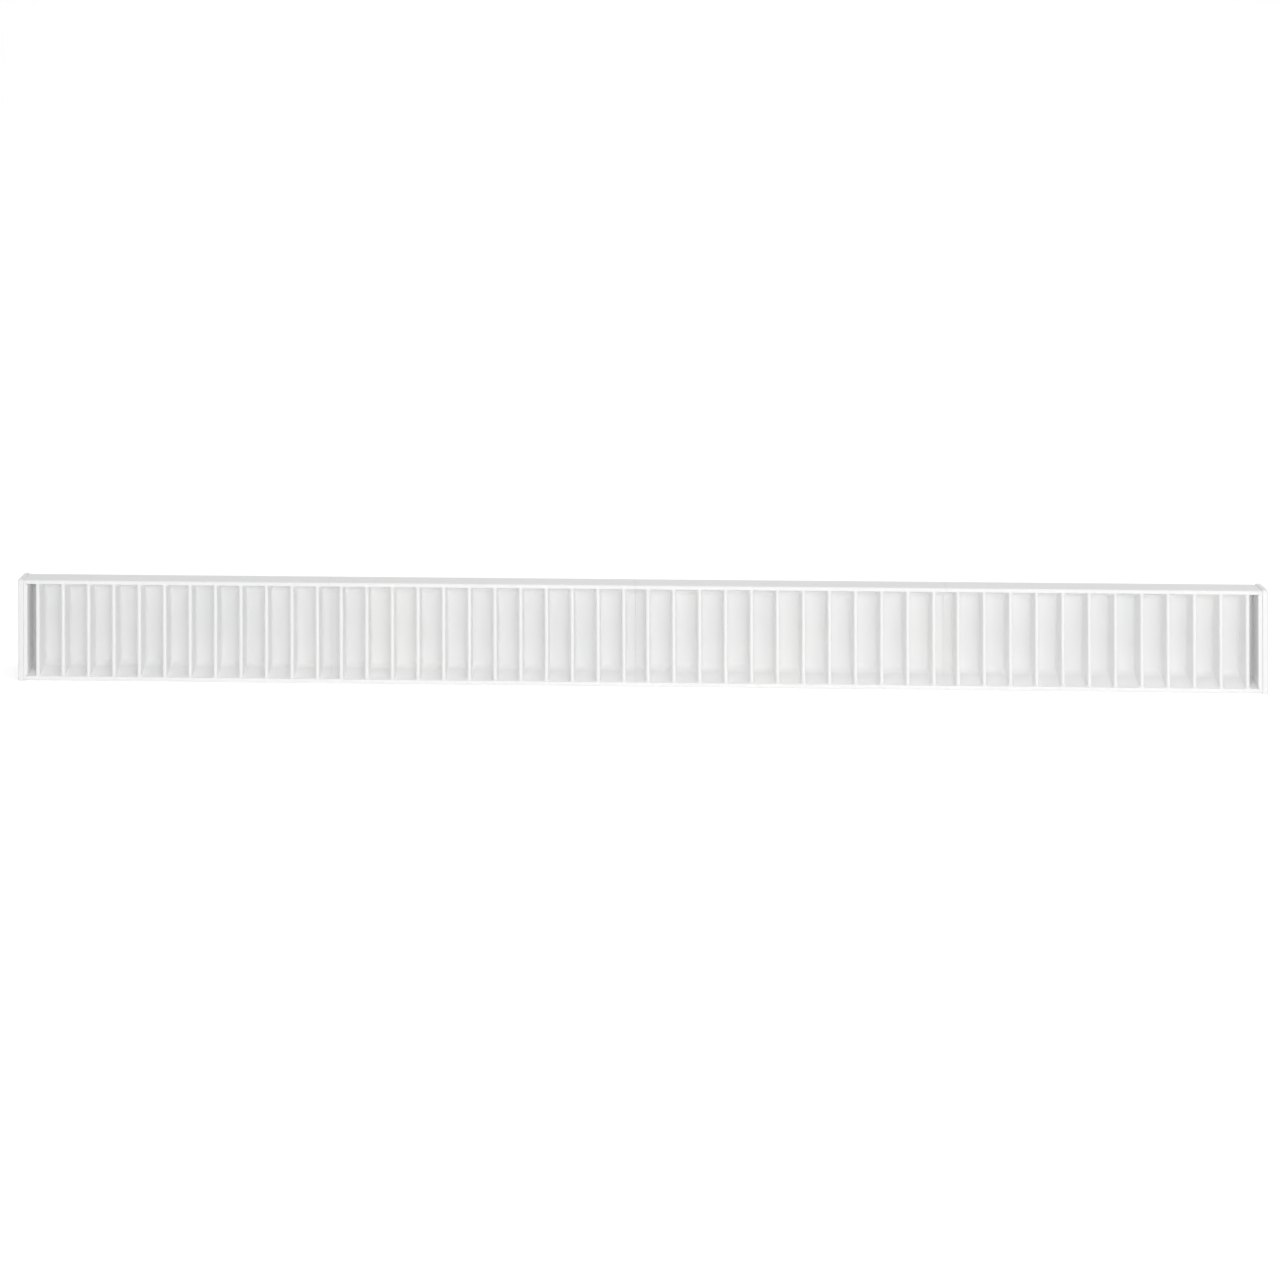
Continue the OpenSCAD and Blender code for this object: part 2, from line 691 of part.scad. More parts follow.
module cable_bushing() {
    color("dimgray") difference() {
        union() {
            rod_y(knockout_r - 0.1, bushing_x, casing_inside - 6, casing_back + slip + 0.1, mid_z);
            rod_y(knockout_r + 1.9, bushing_x, casing_back + slip, casing_back + 1.6, mid_z);
        }
        rod_y(bushing_bore_r, bushing_x, casing_inside - 7, casing_back + 3, mid_z);
    }
}

module knockout_discs() {
    color("whitesmoke") for (x = knockout_xs) rod_y(knockout_r - 0.15, x, casing_inside, casing_back, mid_z);
}

// Rubber buttons that keep the casing's lower edge off the wall.
module wall_spacers() {
    color("black") for (x = spacer_xs) {
        rod_y(6, x, casing_back + slip, wall_y, spacer_z);
        rod_y(2.4, x, casing_inside - 2.5, casing_back + 1, spacer_z);
        rod_y(3.2, x, casing_inside - 3, casing_inside - 0.6, spacer_z);
    }
}

// ---------------------------------------------------------------- wiring cover

module wiring_cover() {
    gap = 0.5;
    color("whitesmoke") difference() {
        union() {
            block([door_x0 + gap, casing_inside, mid_z - door_half_h + gap],
                [door_x1 - gap, casing_back, mid_z + door_half_h - gap]);
            knuckles(1, hinge_pin_r + slip, 1, door_x0 - hinge_x + 1);
        }
        rod_y(1.6, cover_screw_x, casing_inside - 1, casing_back + 1, mid_z);
    }
}

module cover_screw() {
    color("silver") screw_y(cover_screw_x, casing_back + slip, mid_z, 1.5, 4.5, 3, 1.7);
}

module hinge_pin() {
    color("silver") rod_z(hinge_pin_r, hinge_x, hinge_y, mid_z - hinge_half, mid_z + hinge_half);
}

// ---------------------------------------------------------------- wall brackets

module wall_bracket(x) {
    plate_t = 2;
    lip_t = 1.8;
    lip_rise = 7;
    half_w = 40;
    half_h = 26;
    inner_y = casing_inside - 0.6 - lip_t;
    plate_front = wall_y - plate_t;
    color("silver") difference() {
        union() {
            translate([x, plate_front, mid_z]) mirror([0, 1, 0]) rotate([90, 0, 0]) linear_extrude(plate_t)
                round_rect([-half_w, -half_h], [half_w, half_h], 4);
            for (dx = mirrored(hook_x)) {
                x0 = x + dx - hook_w / 2;
                block([x0, inner_y, hook_z - 2], [x0 + hook_w, plate_front + eps, hook_z]);
                block([x0, inner_y, hook_z - 2], [x0 + hook_w, inner_y + lip_t, hook_z + lip_rise]);
            }
        }
        for (z = mirrored(bracket_hole_spacing / 2))
            rod_y(bracket_hole_r, x, plate_front - 1, wall_y + 1, mid_z + z);
    }
}

module wall_bracket_left() wall_bracket(-bracket_spacing / 2);
module wall_bracket_right() wall_bracket(bracket_spacing / 2);

// ---------------------------------------------------------------- the assembly, one node at a time

in_frame() finned_section(1);  // finned_section_1
in_frame() finned_section(2);  // finned_section_2
in_frame() finned_section(3);  // finned_section_3
in_frame() finned_section(4);  // finned_section_4
in_frame() end_plate_left();
in_frame() end_plate_right();
in_frame() end_cap_left();
in_frame() end_cap_right();
in_frame() left_cap_screws();
in_frame() right_cap_screws();
in_frame() dowel_pins();
in_frame() splice_plates();
in_frame() splice_screws();
in_frame() heating_element();
in_frame() element_bushes();
in_frame() element_pins();
in_frame() element_clamps();
in_frame() clamp_screws();
in_frame() sensing_tube();
in_frame() thermal_cutout();
in_frame() terminal_plate();
in_frame() plate_screws();
in_frame() terminal_block();
in_frame() terminal_screws();
in_frame() lead_element_to_cutout();
in_frame() lead_cutout_to_block();
in_frame() lead_element_to_block();
in_frame() ground_lead();
in_frame() ground_screw();
in_frame() bulkhead();
in_frame() reflector();
in_frame() insulation_blanket();
in_frame() rear_casing();
in_frame() casing_screws();
in_frame() cable_bushing();
in_frame() knockout_discs();
in_frame() wall_spacers();
in_frame() wiring_cover();
in_frame() cover_screw();
in_frame() hinge_pin();
in_frame() wall_bracket_left();
in_frame() wall_bracket_right();
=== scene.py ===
"""Looks for a low-profile electric baseboard heater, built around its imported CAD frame.

Metres, in the frame of the CAD: X runs along the heater, Y from its front to the wall, Z up.
"""

import math
import random

import bmesh
import bpy
from mathutils import Matrix, Vector, noise

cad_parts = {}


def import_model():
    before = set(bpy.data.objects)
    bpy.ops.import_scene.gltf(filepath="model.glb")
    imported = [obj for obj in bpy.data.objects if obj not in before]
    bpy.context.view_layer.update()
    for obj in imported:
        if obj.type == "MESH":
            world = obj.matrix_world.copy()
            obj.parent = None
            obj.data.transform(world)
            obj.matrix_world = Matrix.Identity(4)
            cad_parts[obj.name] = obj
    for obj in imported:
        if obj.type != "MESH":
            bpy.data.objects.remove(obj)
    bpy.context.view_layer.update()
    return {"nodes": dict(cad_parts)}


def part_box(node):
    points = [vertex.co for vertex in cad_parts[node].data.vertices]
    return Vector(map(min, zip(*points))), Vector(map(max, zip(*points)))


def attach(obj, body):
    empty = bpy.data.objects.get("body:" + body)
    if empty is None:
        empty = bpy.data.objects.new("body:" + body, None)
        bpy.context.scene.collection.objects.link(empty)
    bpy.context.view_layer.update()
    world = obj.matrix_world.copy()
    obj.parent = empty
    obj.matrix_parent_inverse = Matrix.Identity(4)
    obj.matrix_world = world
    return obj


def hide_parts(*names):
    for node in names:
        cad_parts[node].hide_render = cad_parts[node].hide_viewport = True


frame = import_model()
nodes = frame["nodes"]

MM = 0.001
SIDES = (-1, 1)
TO_RIGHT, TO_WALL = (1, 0, 0), (0, 1, 0)

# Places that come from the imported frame.
section_names = [f"finned_section_{i}" for i in range(1, 5)]
section_low, section_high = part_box(section_names[0])
LIP_Y = section_low.y
MID_Z = (section_low.z + section_high.z) / 2
TRAY_H = section_high.z - section_low.z
SECTION_LEN = section_high.x - section_low.x


# ---------------------------------------------------------------- materials

class Shader:
    """A node material in the making. Object space is the frame's, so patterns have their real scale."""

    def __init__(self, name, **surface):
        self.material = bpy.data.materials.new(name)
        self.material.use_nodes = True
        self.tree = self.material.node_tree
        self.surface = self.tree.nodes["Principled BSDF"]
        coordinates = self.tree.nodes.new("ShaderNodeTexCoord")
        place = self.tree.nodes.new("ShaderNodeObjectInfo")
        shifted = self.node("VectorMath", {0: coordinates.outputs["Object"], 1: place.outputs["Location"]})
        self.position = shifted.outputs[0]
        self.normal = None
        self.set(**surface)

    def node(self, kind, inputs=None, **properties):
        """A new node, with values or other nodes' sockets for its inputs."""
        made = self.tree.nodes.new("ShaderNode" + kind)
        for key, value in properties.items():
            setattr(made, key, value)
        for key, value in (inputs or {}).items():
            if isinstance(value, bpy.types.NodeSocket):
                self.tree.links.new(value, made.inputs[key])
            else:
                made.inputs[key].default_value = value
        return made

    def set(self, **surface):
        """Sets inputs of the surface by name, with _ for a space."""
        for key, value in surface.items():
            target = self.surface.inputs[key.replace("_", " ")]
            if isinstance(value, bpy.types.NodeSocket):
                self.tree.links.new(value, target)
            else:
                target.default_value = value

    def noise(self, size, detail=3.0, stretch=(1, 1, 1), roughness=0.5):
        """Noise whose features are about size metres wide, longer where stretch is over 1."""
        squeezed = self.node("Mapping", {"Vector": self.position, "Scale": [1 / s for s in stretch]})
        made = self.node("TexNoise", {"Vector": squeezed.outputs[0], "Scale": 1 / size, "Detail": detail,
                                      "Roughness": roughness})
        return made.outputs["Fac"]

    def cells(self, size):
        """A random value for each cell of about size metres."""
        made = self.node("TexVoronoi", {"Vector": self.position, "Scale": 1 / size})
        return self.node("SeparateColor", {0: made.outputs["Color"]}).outputs[0]

    def between(self, value, low, high, start=0.3, end=0.7):
        """value from start to end, mapped to low to high."""
        made = self.node("MapRange", {"Value": value, "From Min": start, "From Max": end,
                                      "To Min": low, "To Max": high})
        return made.outputs[0]

    def blend(self, value, first, second, start=0.3, end=0.7):
        """A colour between first and second as value goes from start to end."""
        share = self.between(value, 0, 1, start, end)
        made = self.node("Mix", {0: share, 6: (*first, 1), 7: (*second, 1)}, data_type="RGBA")
        return made.outputs[2]

    def bump(self, height, distance, strength=1.0):
        """Adds a relief of the given depth in metres to the surface."""
        inputs = {"Height": height, "Distance": distance, "Strength": strength}
        if self.normal:
            inputs["Normal"] = self.normal
        self.normal = self.node("Bump", inputs).outputs[0]
        self.tree.links.new(self.normal, self.surface.inputs["Normal"])

    def painted_shade(self, colour, shade_tint, reach, share):
        """colour, turned towards a darker tint by share where the surface is hidden within reach metres:
        painted shade in corners and recesses.
        """
        seen = self.node("AmbientOcclusion", {"Distance": reach}, samples=4)
        amount = self.between(seen.outputs["AO"], share, 0, 0.35, 0.9)
        made = self.node("Mix", {0: amount, 6: colour, 7: (*shade_tint, 1)}, data_type="RGBA")
        return made.outputs[2]


def powder_coat():
    """White powder coat on cast aluminium: faint orange peel, slow tone changes, painted shade in the
    corners.
    """
    s = Shader("powder_coated_casting", Metallic=0.0, IOR=1.5)
    tone = s.blend(s.noise(90 * MM, 2), (0.910, 0.912, 0.912), (0.928, 0.928, 0.925))
    # Ambient occlusion darkens the colour in corners and pockets: painted shade.
    s.set(Base_Color=s.painted_shade(tone, (0.80, 0.795, 0.785), 3 * MM, 0.12))
    s.set(Roughness=s.between(s.noise(18 * MM, 4), 0.40, 0.52))
    s.bump(s.noise(9 * MM, 2), 0.10 * MM, 0.5)
    s.bump(s.noise(1.1 * MM, 2), 0.035 * MM, 0.6)
    return s.material


def enamel():
    """White enamel on rolled steel sheet: smoother than the castings, with a soft gloss."""
    s = Shader("enamelled_sheet", IOR=1.5, Coat_Weight=0.15, Coat_Roughness=0.2)
    s.set(Base_Color=s.blend(s.noise(120 * MM, 2), (0.80, 0.803, 0.80), (0.84, 0.84, 0.835)))
    s.set(Roughness=s.between(s.noise(30 * MM, 4), 0.30, 0.42))
    s.bump(s.noise(45 * MM, 1), 0.25 * MM, 0.5)
    s.bump(s.noise(1.6 * MM, 2), 0.02 * MM, 0.5)
    return s.material


def zinc():
    """Bright zinc plate on steel, with a faint blue and yellow cast."""
    s = Shader("zinc_plated_steel", Metallic=1.0)
    s.set(Base_Color=s.blend(s.noise(7 * MM, 3), (0.66, 0.68, 0.72), (0.76, 0.74, 0.68)))
    s.set(Roughness=s.between(s.noise(2 * MM, 4), 0.24, 0.42))
    s.bump(s.noise(0.8 * MM, 3), 0.02 * MM, 0.6)
    return s.material


def galvanised():
    """Hot-dip galvanised sheet with its spangle."""
    s = Shader("galvanised_bracket", Metallic=0.95)
    spangle = s.cells(4.5 * MM)
    s.set(Base_Color=s.blend(spangle, (0.52, 0.54, 0.56), (0.70, 0.72, 0.74), 0, 1))
    s.set(Roughness=s.between(spangle, 0.30, 0.50, 0, 1))
    s.bump(s.noise(2.5 * MM, 3), 0.03 * MM, 0.5)
    return s.material


def oxidised_sheath():
    """Heat-darkened alloy of an element's sheath, mottled along its length."""
    s = Shader("element_sheath", Metallic=0.75)
    mottle = s.noise(6 * MM, 5, stretch=(4, 1, 1))
    s.set(Base_Color=s.blend(mottle, (0.055, 0.05, 0.045), (0.16, 0.15, 0.13)))
    s.set(Roughness=s.between(mottle, 0.42, 0.62))
    s.bump(s.noise(1.2 * MM, 3), 0.03 * MM, 0.6)
    return s.material


def steatite():
    """Unglazed steatite, chalky with fine specks."""
    s = Shader("bush_ceramic")
    s.set(Base_Color=s.blend(s.noise(0.9 * MM, 4), (0.62, 0.58, 0.50), (0.80, 0.77, 0.70)))
    s.set(Roughness=s.between(s.noise(1.5 * MM, 2), 0.55, 0.75))
    s.bump(s.noise(0.5 * MM, 3), 0.03 * MM)
    return s.material


def copper():
    """Drawn copper tube, dulled in patches."""
    s = Shader("copper_tube", Metallic=1.0)
    patina = s.noise(9 * MM, 4, stretch=(3, 1, 1))
    s.set(Base_Color=s.blend(patina, (0.80, 0.42, 0.27), (0.42, 0.20, 0.12), 0.45, 0.75))
    s.set(Roughness=s.between(patina, 0.22, 0.50, 0.4, 0.75))
    s.bump(s.noise(0.6 * MM, 2, stretch=(8, 1, 1)), 0.01 * MM)
    return s.material


def phenolic():
    """Black phenolic moulding with a faint flow pattern."""
    s = Shader("cutout_moulding", IOR=1.6)
    s.set(Base_Color=s.blend(s.noise(2 * MM, 4), (0.012, 0.011, 0.010), (0.035, 0.032, 0.030)))
    s.set(Roughness=s.between(s.noise(4 * MM, 3), 0.28, 0.45))
    s.bump(s.noise(0.7 * MM, 2), 0.015 * MM)
    return s.material


def ivory_nylon():
    """Ivory nylon of a terminal block, slightly see-through at its edges."""
    s = Shader("terminal_moulding", Subsurface_Weight=0.15, Subsurface_Radius=(0.004, 0.003, 0.002))
    s.set(Base_Color=s.blend(s.noise(6 * MM, 2), (0.76, 0.71, 0.58), (0.83, 0.79, 0.68)))
    s.set(Roughness=s.between(s.noise(3 * MM, 2), 0.38, 0.5))
    s.bump(s.noise(0.5 * MM, 2), 0.012 * MM)
    return s.material


def brass():
    """Plain brass, a little tarnished."""
    s = Shader("terminal_brass", Metallic=1.0)
    tarnish = s.noise(3 * MM, 4)
    s.set(Base_Color=s.blend(tarnish, (0.83, 0.64, 0.32), (0.55, 0.38, 0.17), 0.45, 0.8))
    s.set(Roughness=s.between(tarnish, 0.2, 0.42))
    s.bump(s.noise(0.5 * MM, 2), 0.01 * MM)
    return s.material


def lead_jacket(name, dark, light):
    """Extruded lead insulation: a soft gloss with fine lines along the wire."""
    s = Shader(name, IOR=1.48)
    s.set(Base_Color=s.blend(s.noise(5 * MM, 2), dark, light))
    s.set(Roughness=s.between(s.noise(1.5 * MM, 3), 0.34, 0.5))
    s.bump(s.noise(0.5 * MM, 2), 0.015 * MM)
    return s.material


def green_plate():
    """Green chromate plate that marks the ground screw."""
    s = Shader("green_screw", Metallic=0.8)
    s.set(Base_Color=s.blend(s.noise(2 * MM, 3), (0.03, 0.22, 0.08), (0.06, 0.36, 0.14)))
    s.set(Roughness=s.between(s.noise(1 * MM, 3), 0.3, 0.45))
    s.bump(s.noise(0.6 * MM, 2), 0.015 * MM)
    return s.material


def rolled_aluminium():
    """Bright rolled reflector sheet with rolling lines along its length."""
    s = Shader("reflector_sheet", Metallic=1.0, Anisotropic=0.5)
    lines = s.noise(0.7 * MM, 3, stretch=(60, 1, 1))
    s.set(Base_Color=s.blend(lines, (0.78, 0.79, 0.80), (0.90, 0.90, 0.90)))
    s.set(Roughness=s.between(lines, 0.16, 0.30))
    s.bump(s.noise(35 * MM, 2), 0.3 * MM, 0.5)
    return s.material


def fibre_blanket():
    """Needled ceramic fibre: off-white, matt and fuzzy, with long fibres in its surface."""
    s = Shader("ceramic_fibre", Sheen_Weight=0.4, Sheen_Roughness=0.6)
    fibres = s.noise(1.4 * MM, 6, stretch=(5, 1, 1.6), roughness=0.65)
    clumps = s.noise(14 * MM, 3)
    pale = s.blend(clumps, (0.80, 0.78, 0.71), (0.88, 0.87, 0.83))
    shade = s.between(fibres, 0.55, 0, 0.32, 0.55)
    mixed = s.node("Mix", {0: shade, 6: pale, 7: (0.62, 0.59, 0.51, 1)}, data_type="RGBA")
    s.set(Base_Color=mixed.outputs[2])
    s.set(Roughness=s.between(fibres, 0.82, 0.98))
    s.bump(fibres, 0.5 * MM, 0.8)
    return s.material


def rubber():
    """Black rubber with a dusty bloom."""
    s = Shader("black_rubber", Sheen_Weight=0.1)
    s.set(Base_Color=s.blend(s.noise(5 * MM, 4), (0.014, 0.014, 0.015), (0.040, 0.039, 0.038)))
    s.set(Roughness=s.between(s.noise(2 * MM, 3), 0.55, 0.75))
    s.bump(s.noise(0.6 * MM, 3), 0.03 * MM)
    return s.material


finishes = {
    "powder_coated_casting": powder_coat(),
    "enamelled_sheet": enamel(),
    "zinc_plated_steel": zinc(),
    "galvanised_bracket": galvanised(),
    "element_sheath": oxidised_sheath(),
    "bush_ceramic": steatite(),
    "copper_tube": copper(),
    "cutout_moulding": phenolic(),
    "terminal_moulding": ivory_nylon(),
    "terminal_brass": brass(),
    "black_lead": lead_jacket("black_lead", (0.012, 0.012, 0.013), (0.03, 0.03, 0.032)),
    "red_lead": lead_jacket("red_lead", (0.42, 0.012, 0.010), (0.55, 0.03, 0.02)),
    "green_lead": lead_jacket("green_lead", (0.015, 0.20, 0.045), (0.03, 0.30, 0.07)),
    "green_screw": green_plate(),
    "reflector_sheet": rolled_aluminium(),
    "ceramic_fibre": fibre_blanket(),
    "black_rubber": rubber(),
}


# ---------------------------------------------------------------- mesh helpers

def arc(centre, radius, start, end, steps):
    """Points of an arc in a plane, from the angle start to the angle end in degrees."""
    angles = [math.radians(start + (end - start) * k / steps) for k in range(steps + 1)]
    return [(centre[0] + radius * math.cos(a), centre[1] + radius * math.sin(a)) for a in angles]


def loft(bm, loops, closed=True):
    """Faces between neighbouring loops of points. Returns the rows of vertices."""
    rows = [[bm.verts.new(point) for point in loop] for loop in loops]
    count = len(rows[0])
    for a, b in zip(rows, rows[1:]):
        for i in range(count if closed else count - 1):
            j = (i + 1) % count
            bm.faces.new((a[i], a[j], b[j], b[i]))
    return rows


def at(x, y, z):
    """A place from X in the frame, Y from the front of the lips and Z from mid height."""
    return Vector((x, LIP_Y + y, MID_Z + z))


def facing(axis, place):
    """Turns local Z to axis and moves the local origin to place."""
    return Matrix.Translation(place) @ Vector(axis).to_track_quat("Z", "X").to_matrix().to_4x4()


def lathe(bm, profile, axis, place, steps=32, hollow=False):
    """Turns a profile of (radius, distance) round an axis through place. A hollow one closes on itself."""
    turn = facing(axis, place)
    loops = [[turn @ Vector((x, y, distance)) for x, y in arc((0, 0), radius, 0, 360, steps)[:-1]]
             for radius, distance in profile]
    if hollow:
        loops.append(loops[0])
    rows = loft(bm, loops)
    if not hollow:
        bm.faces.new(rows[0])
        bm.faces.new(rows[-1])


def tube(bm, path, radii, steps=20):
    """A round bar along a path, with a radius for each of its points."""
    side = (path[1] - path[0]).orthogonal().normalized()
    before = (path[1] - path[0]).normalized()
    loops = []
    for i, point in enumerate(path):
        along = (path[min(i + 1, len(path) - 1)] - path[max(i - 1, 0)]).normalized()
        side = before.rotation_difference(along) @ side
        before = along
        other = along.cross(side)
        loops.append([point + side * x + other * y for x, y in arc((0, 0), radii[i], 0, 360, steps)[:-1]])
    rows = loft(bm, loops)
    bm.faces.new(rows[0])
    bm.faces.new(rows[-1])


def bent(points, reach, steps=8):
    """A path through points whose corners are rounded, starting up to reach away from each corner."""
    path = [points[0]]
    for before, corner, after in zip(points, points[1:], points[2:]):
        near = min(reach, 0.45 * (corner - before).length, 0.45 * (after - corner).length)
        start = corner + near * (before - corner).normalized()
        end = corner + near * (after - corner).normalized()
        path += [start.lerp(corner, k / steps).lerp(corner.lerp(end, k / steps), k / steps)
                 for k in range(steps + 1)]
    return path + [points[-1]]


def block(bm, low, high):
    """A block from its lowest to its highest corner."""
    low, high = Vector(low), Vector(high)
    made = bmesh.ops.create_cube(bm, size=1)["verts"]
    bmesh.ops.scale(bm, vec=high - low, verts=made)
    bmesh.ops.translate(bm, vec=(low + high) / 2, verts=made)


def close(bm):
    """Joins doubled vertices and turns all faces outwards."""
    bmesh.ops.remove_doubles(bm, verts=bm.verts, dist=0.005 * MM)
    bmesh.ops.recalc_face_normals(bm, faces=bm.faces)


def new_object(name, mesh):
    """An object for a mesh, in the scene."""
    made = bpy.data.objects.new(name, mesh)
    bpy.context.scene.collection.objects.link(made)
    return made


def mesh_object(name, build):
    """A new object whose mesh is drawn by build(bm)."""
    bm = bmesh.new()
    build(bm)
    close(bm)
    mesh = bpy.data.meshes.new(name)
    bm.to_mesh(mesh)
    bm.free()
    return new_object(name, mesh)


def cut(target, operation, build):
    """Joins or cuts target with a mesh drawn by build(bm), in the target's own space."""
    tool = mesh_object("tool", build)
    tool.matrix_world = target.matrix_world.copy()
    modifier = target.modifiers.new("boolean", "BOOLEAN")
    modifier.operation = operation
    modifier.solver = "EXACT"
    modifier.object = tool
    bake(target)
    bpy.data.objects.remove(tool)


def bake(target):
    """Applies the target's modifiers to its mesh."""
    bpy.context.view_layer.update()
    evaluated = target.evaluated_get(bpy.context.evaluated_depsgraph_get())
    old = target.data
    target.data = bpy.data.meshes.new_from_object(evaluated)
    target.modifiers.clear()
    bpy.data.meshes.remove(old)


def smooth(made, angle=35):
    """Smooth shading that breaks at edges sharper than angle, with flat faces kept flat."""
    made.data.polygons.foreach_set("use_smooth", [True] * len(made.data.polygons))
    made.data.set_sharp_from_angle(angle=math.radians(angle))
    weighted = made.modifiers.new("weighted_normals", "WEIGHTED_NORMAL")
    weighted.keep_sharp = True


def soften(made, width, angle=32, segments=2):
    """Rounds the sharp edges of a mesh."""
    bevel = made.modifiers.new("soft_edges", "BEVEL")
    bevel.width = width
    bevel.segments = segments
    bevel.limit_method = "ANGLE"
    bevel.angle_limit = math.radians(angle)
    bevel.use_clamp_overlap = False
    bevel.harden_normals = False


def finish_piece(made, body, slot, *stands_for):
    """Gives a new piece its finish and its body, and hides the CAD nodes that it stands for."""
    if made.type == "MESH":
        made.data.materials.clear()
    made.data.materials.append(finishes[slot])
    if stands_for:
        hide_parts(*stands_for)
    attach(made, body)


# ---------------------------------------------------------------- finned sections

FIN_COUNT = 12
FIN_PITCH = 25.55 * MM
FIN_SETBACK = 2 * MM
NOSE_R = 2 * MM
FIN_ROOT = 2.3 * MM             # half the thickness of a fin at the floor
FIN_FILLET = 3 * MM
POCKET_D = 35 * MM
TRAY_D = 38 * MM
WALL_T = 4 * MM
POCKET_HALF = TRAY_H / 2 - WALL_T
WALL_RISE = 5 * MM              # slope of the top and bottom walls towards the floor
TROUGH_R = 8 * MM               # between the floor and the top and bottom walls
CORNER_R = 2 * MM               # between a fin and the top and bottom walls
GROOVE_Y = TRAY_D + 7 * MM
LEG_Z = 19 * MM
JOINT_Y = TRAY_D + 4.5 * MM
JOINT_Z = 31 * MM


def pocket_levels():
    """Depth, fin half thickness, half height and corner radius, from the fin noses to the floor."""
    levels = []
    for k in range(6):
        turn = math.radians(90 * k / 5)
        levels.append((FIN_SETBACK + NOSE_R * (1 - math.cos(turn)), NOSE_R * math.sin(turn), POCKET_HALF,
                       CORNER_R * math.sin(turn)))
    nose_end = FIN_SETBACK + NOSE_R
    run, fall = POCKET_D - TROUGH_R - nose_end, WALL_RISE + TROUGH_R
    slope = math.atan2(fall, run) - math.asin(TROUGH_R / math.hypot(run, fall))
    for k in range(10):
        turn = slope + (math.pi / 2 - slope) * k / 9
        depth = POCKET_D - TROUGH_R * (1 - math.sin(turn))
        taper = (depth - nose_end) / (POCKET_D - nose_end)
        into_fillet = max(0, depth - POCKET_D + FIN_FILLET) / FIN_FILLET
        fin = NOSE_R + (FIN_ROOT - NOSE_R) * taper + FIN_FILLET * (1 - math.sqrt(1 - into_fillet ** 2))
        levels.append((depth, fin, POCKET_HALF - WALL_RISE - TROUGH_R * (1 - math.cos(turn)), CORNER_R))
    return levels


def bay_loop(x0, x1, level, open_side):
    """Outline of the room between two fins at one level. At the end of a section it is open on one side."""
    depth, fin, half_h, r = level
    left = x0 + fin + r
    right = x1 - fin - r
    corners = [arc((x, z * (half_h - r)), r, start, start + 90, 5)
               for x, z, start in ((right, 1, 0), (left, 1, 90), (left, -1, 180), (right, -1, 270))]
    if open_side > 0:
        outline = [(x1, half_h)] + corners[1] + corners[2] + [(x1, -half_h)]
    elif open_side < 0:
        outline = [(x0, -half_h)] + corners[3] + corners[0] + [(x0, half_h)]
    else:
        outline = sum(corners, [])
    return [(x, depth, z) for x, z in outline]


def wall_profile():
    """Depth and height of a section's skin, from the pocket over the top lip and the back to the pocket."""
    inner_r, outer_r, back_r = 0.8 * MM, 1.5 * MM, 0.6 * MM
    half = TRAY_H / 2
    top = [(FIN_SETBACK, POCKET_HALF)]
    top += arc((inner_r, POCKET_HALF + inner_r), inner_r, 270, 180, 4)
    top += arc((outer_r, half - outer_r), outer_r, 180, 90, 5)
    top += arc((TRAY_D - back_r, half - back_r), back_r, 90, 0, 3)
    return top + [(depth, -z) for depth, z in reversed(top)]


def tray(bm):
    """The finned front of a section as one closed skin, without its ribs and holes."""
    end = SECTION_LEN / 2
    fins = [(i - (FIN_COUNT - 1) / 2) * FIN_PITCH for i in range(FIN_COUNT)]
    stops = [-end] + fins + [end]
    levels = pocket_levels()
    for i, (x0, x1) in enumerate(zip(stops, stops[1:])):
        open_side = {0: -1, FIN_COUNT: 1}.get(i, 0)
        rows = loft(bm, [bay_loop(x0, x1, level, open_side) for level in levels], open_side == 0)
        bm.faces.new(rows[-1])
    loft(bm, [[(x, depth, z) for depth, z in wall_profile()] for x in stops], closed=False)
    close(bm)
    bmesh.ops.edgeloop_fill(bm, edges=[e for e in bm.edges if e.is_boundary])
    rims = [e for e in bm.edges if all(abs(abs(v.co.x) - end) < 0.01 * MM for v in e.verts)]
    bmesh.ops.bevel(bm, geom=rims, offset=0.12 * MM, segments=2, profile=0.5, affect="EDGES")


def boss(bm, x, z, radius=4 * MM):
    """A screw boss with the draft of a casting and a broken edge."""
    edge = 0.3 * MM
    profile = [(radius + 0.3 * MM, TRAY_D - 0.5 * MM), (radius, GROOVE_Y - edge), (radius - edge, GROOVE_Y)]
    lathe(bm, profile, TO_WALL, (x, 0, z))


BOSS_PLACES = [(118 * MM, -30.5 * MM)]
BOSS_PLACES += [(x * 76 * MM, z * 30.5 * MM) for x in SIDES for z in SIDES]
BOSS_PLACES += [(x * (152.4 - 12) * MM, z * 7.5 * MM) for x in SIDES for z in SIDES]


def section_back(bm):
    """Ribs that carry the element, screw bosses and joint bosses."""
    end = SECTION_LEN / 2
    joint_r, joint_len = 4.5 * MM, 17 * MM
    for side in SIDES:
        leg = side * LEG_Z
        block(bm, (-100 * MM, TRAY_D - 0.5 * MM, leg - 7 * MM), (100 * MM, GROOVE_Y, leg + 7 * MM))
        for x0 in (-end, end - joint_len):
            outline = [(TRAY_D - 0.5 * MM, -joint_r)]
            outline += arc((JOINT_Y, 0), joint_r, -90, 90, 12)
            outline += [(TRAY_D - 0.5 * MM, joint_r)]
            rows = loft(bm, [[(x, y, side * JOINT_Z + z) for y, z in outline] for x in (x0, x0 + joint_len)])
            for row in rows:
                bm.faces.new(row)
    for x, z in BOSS_PLACES:
        boss(bm, x, z)


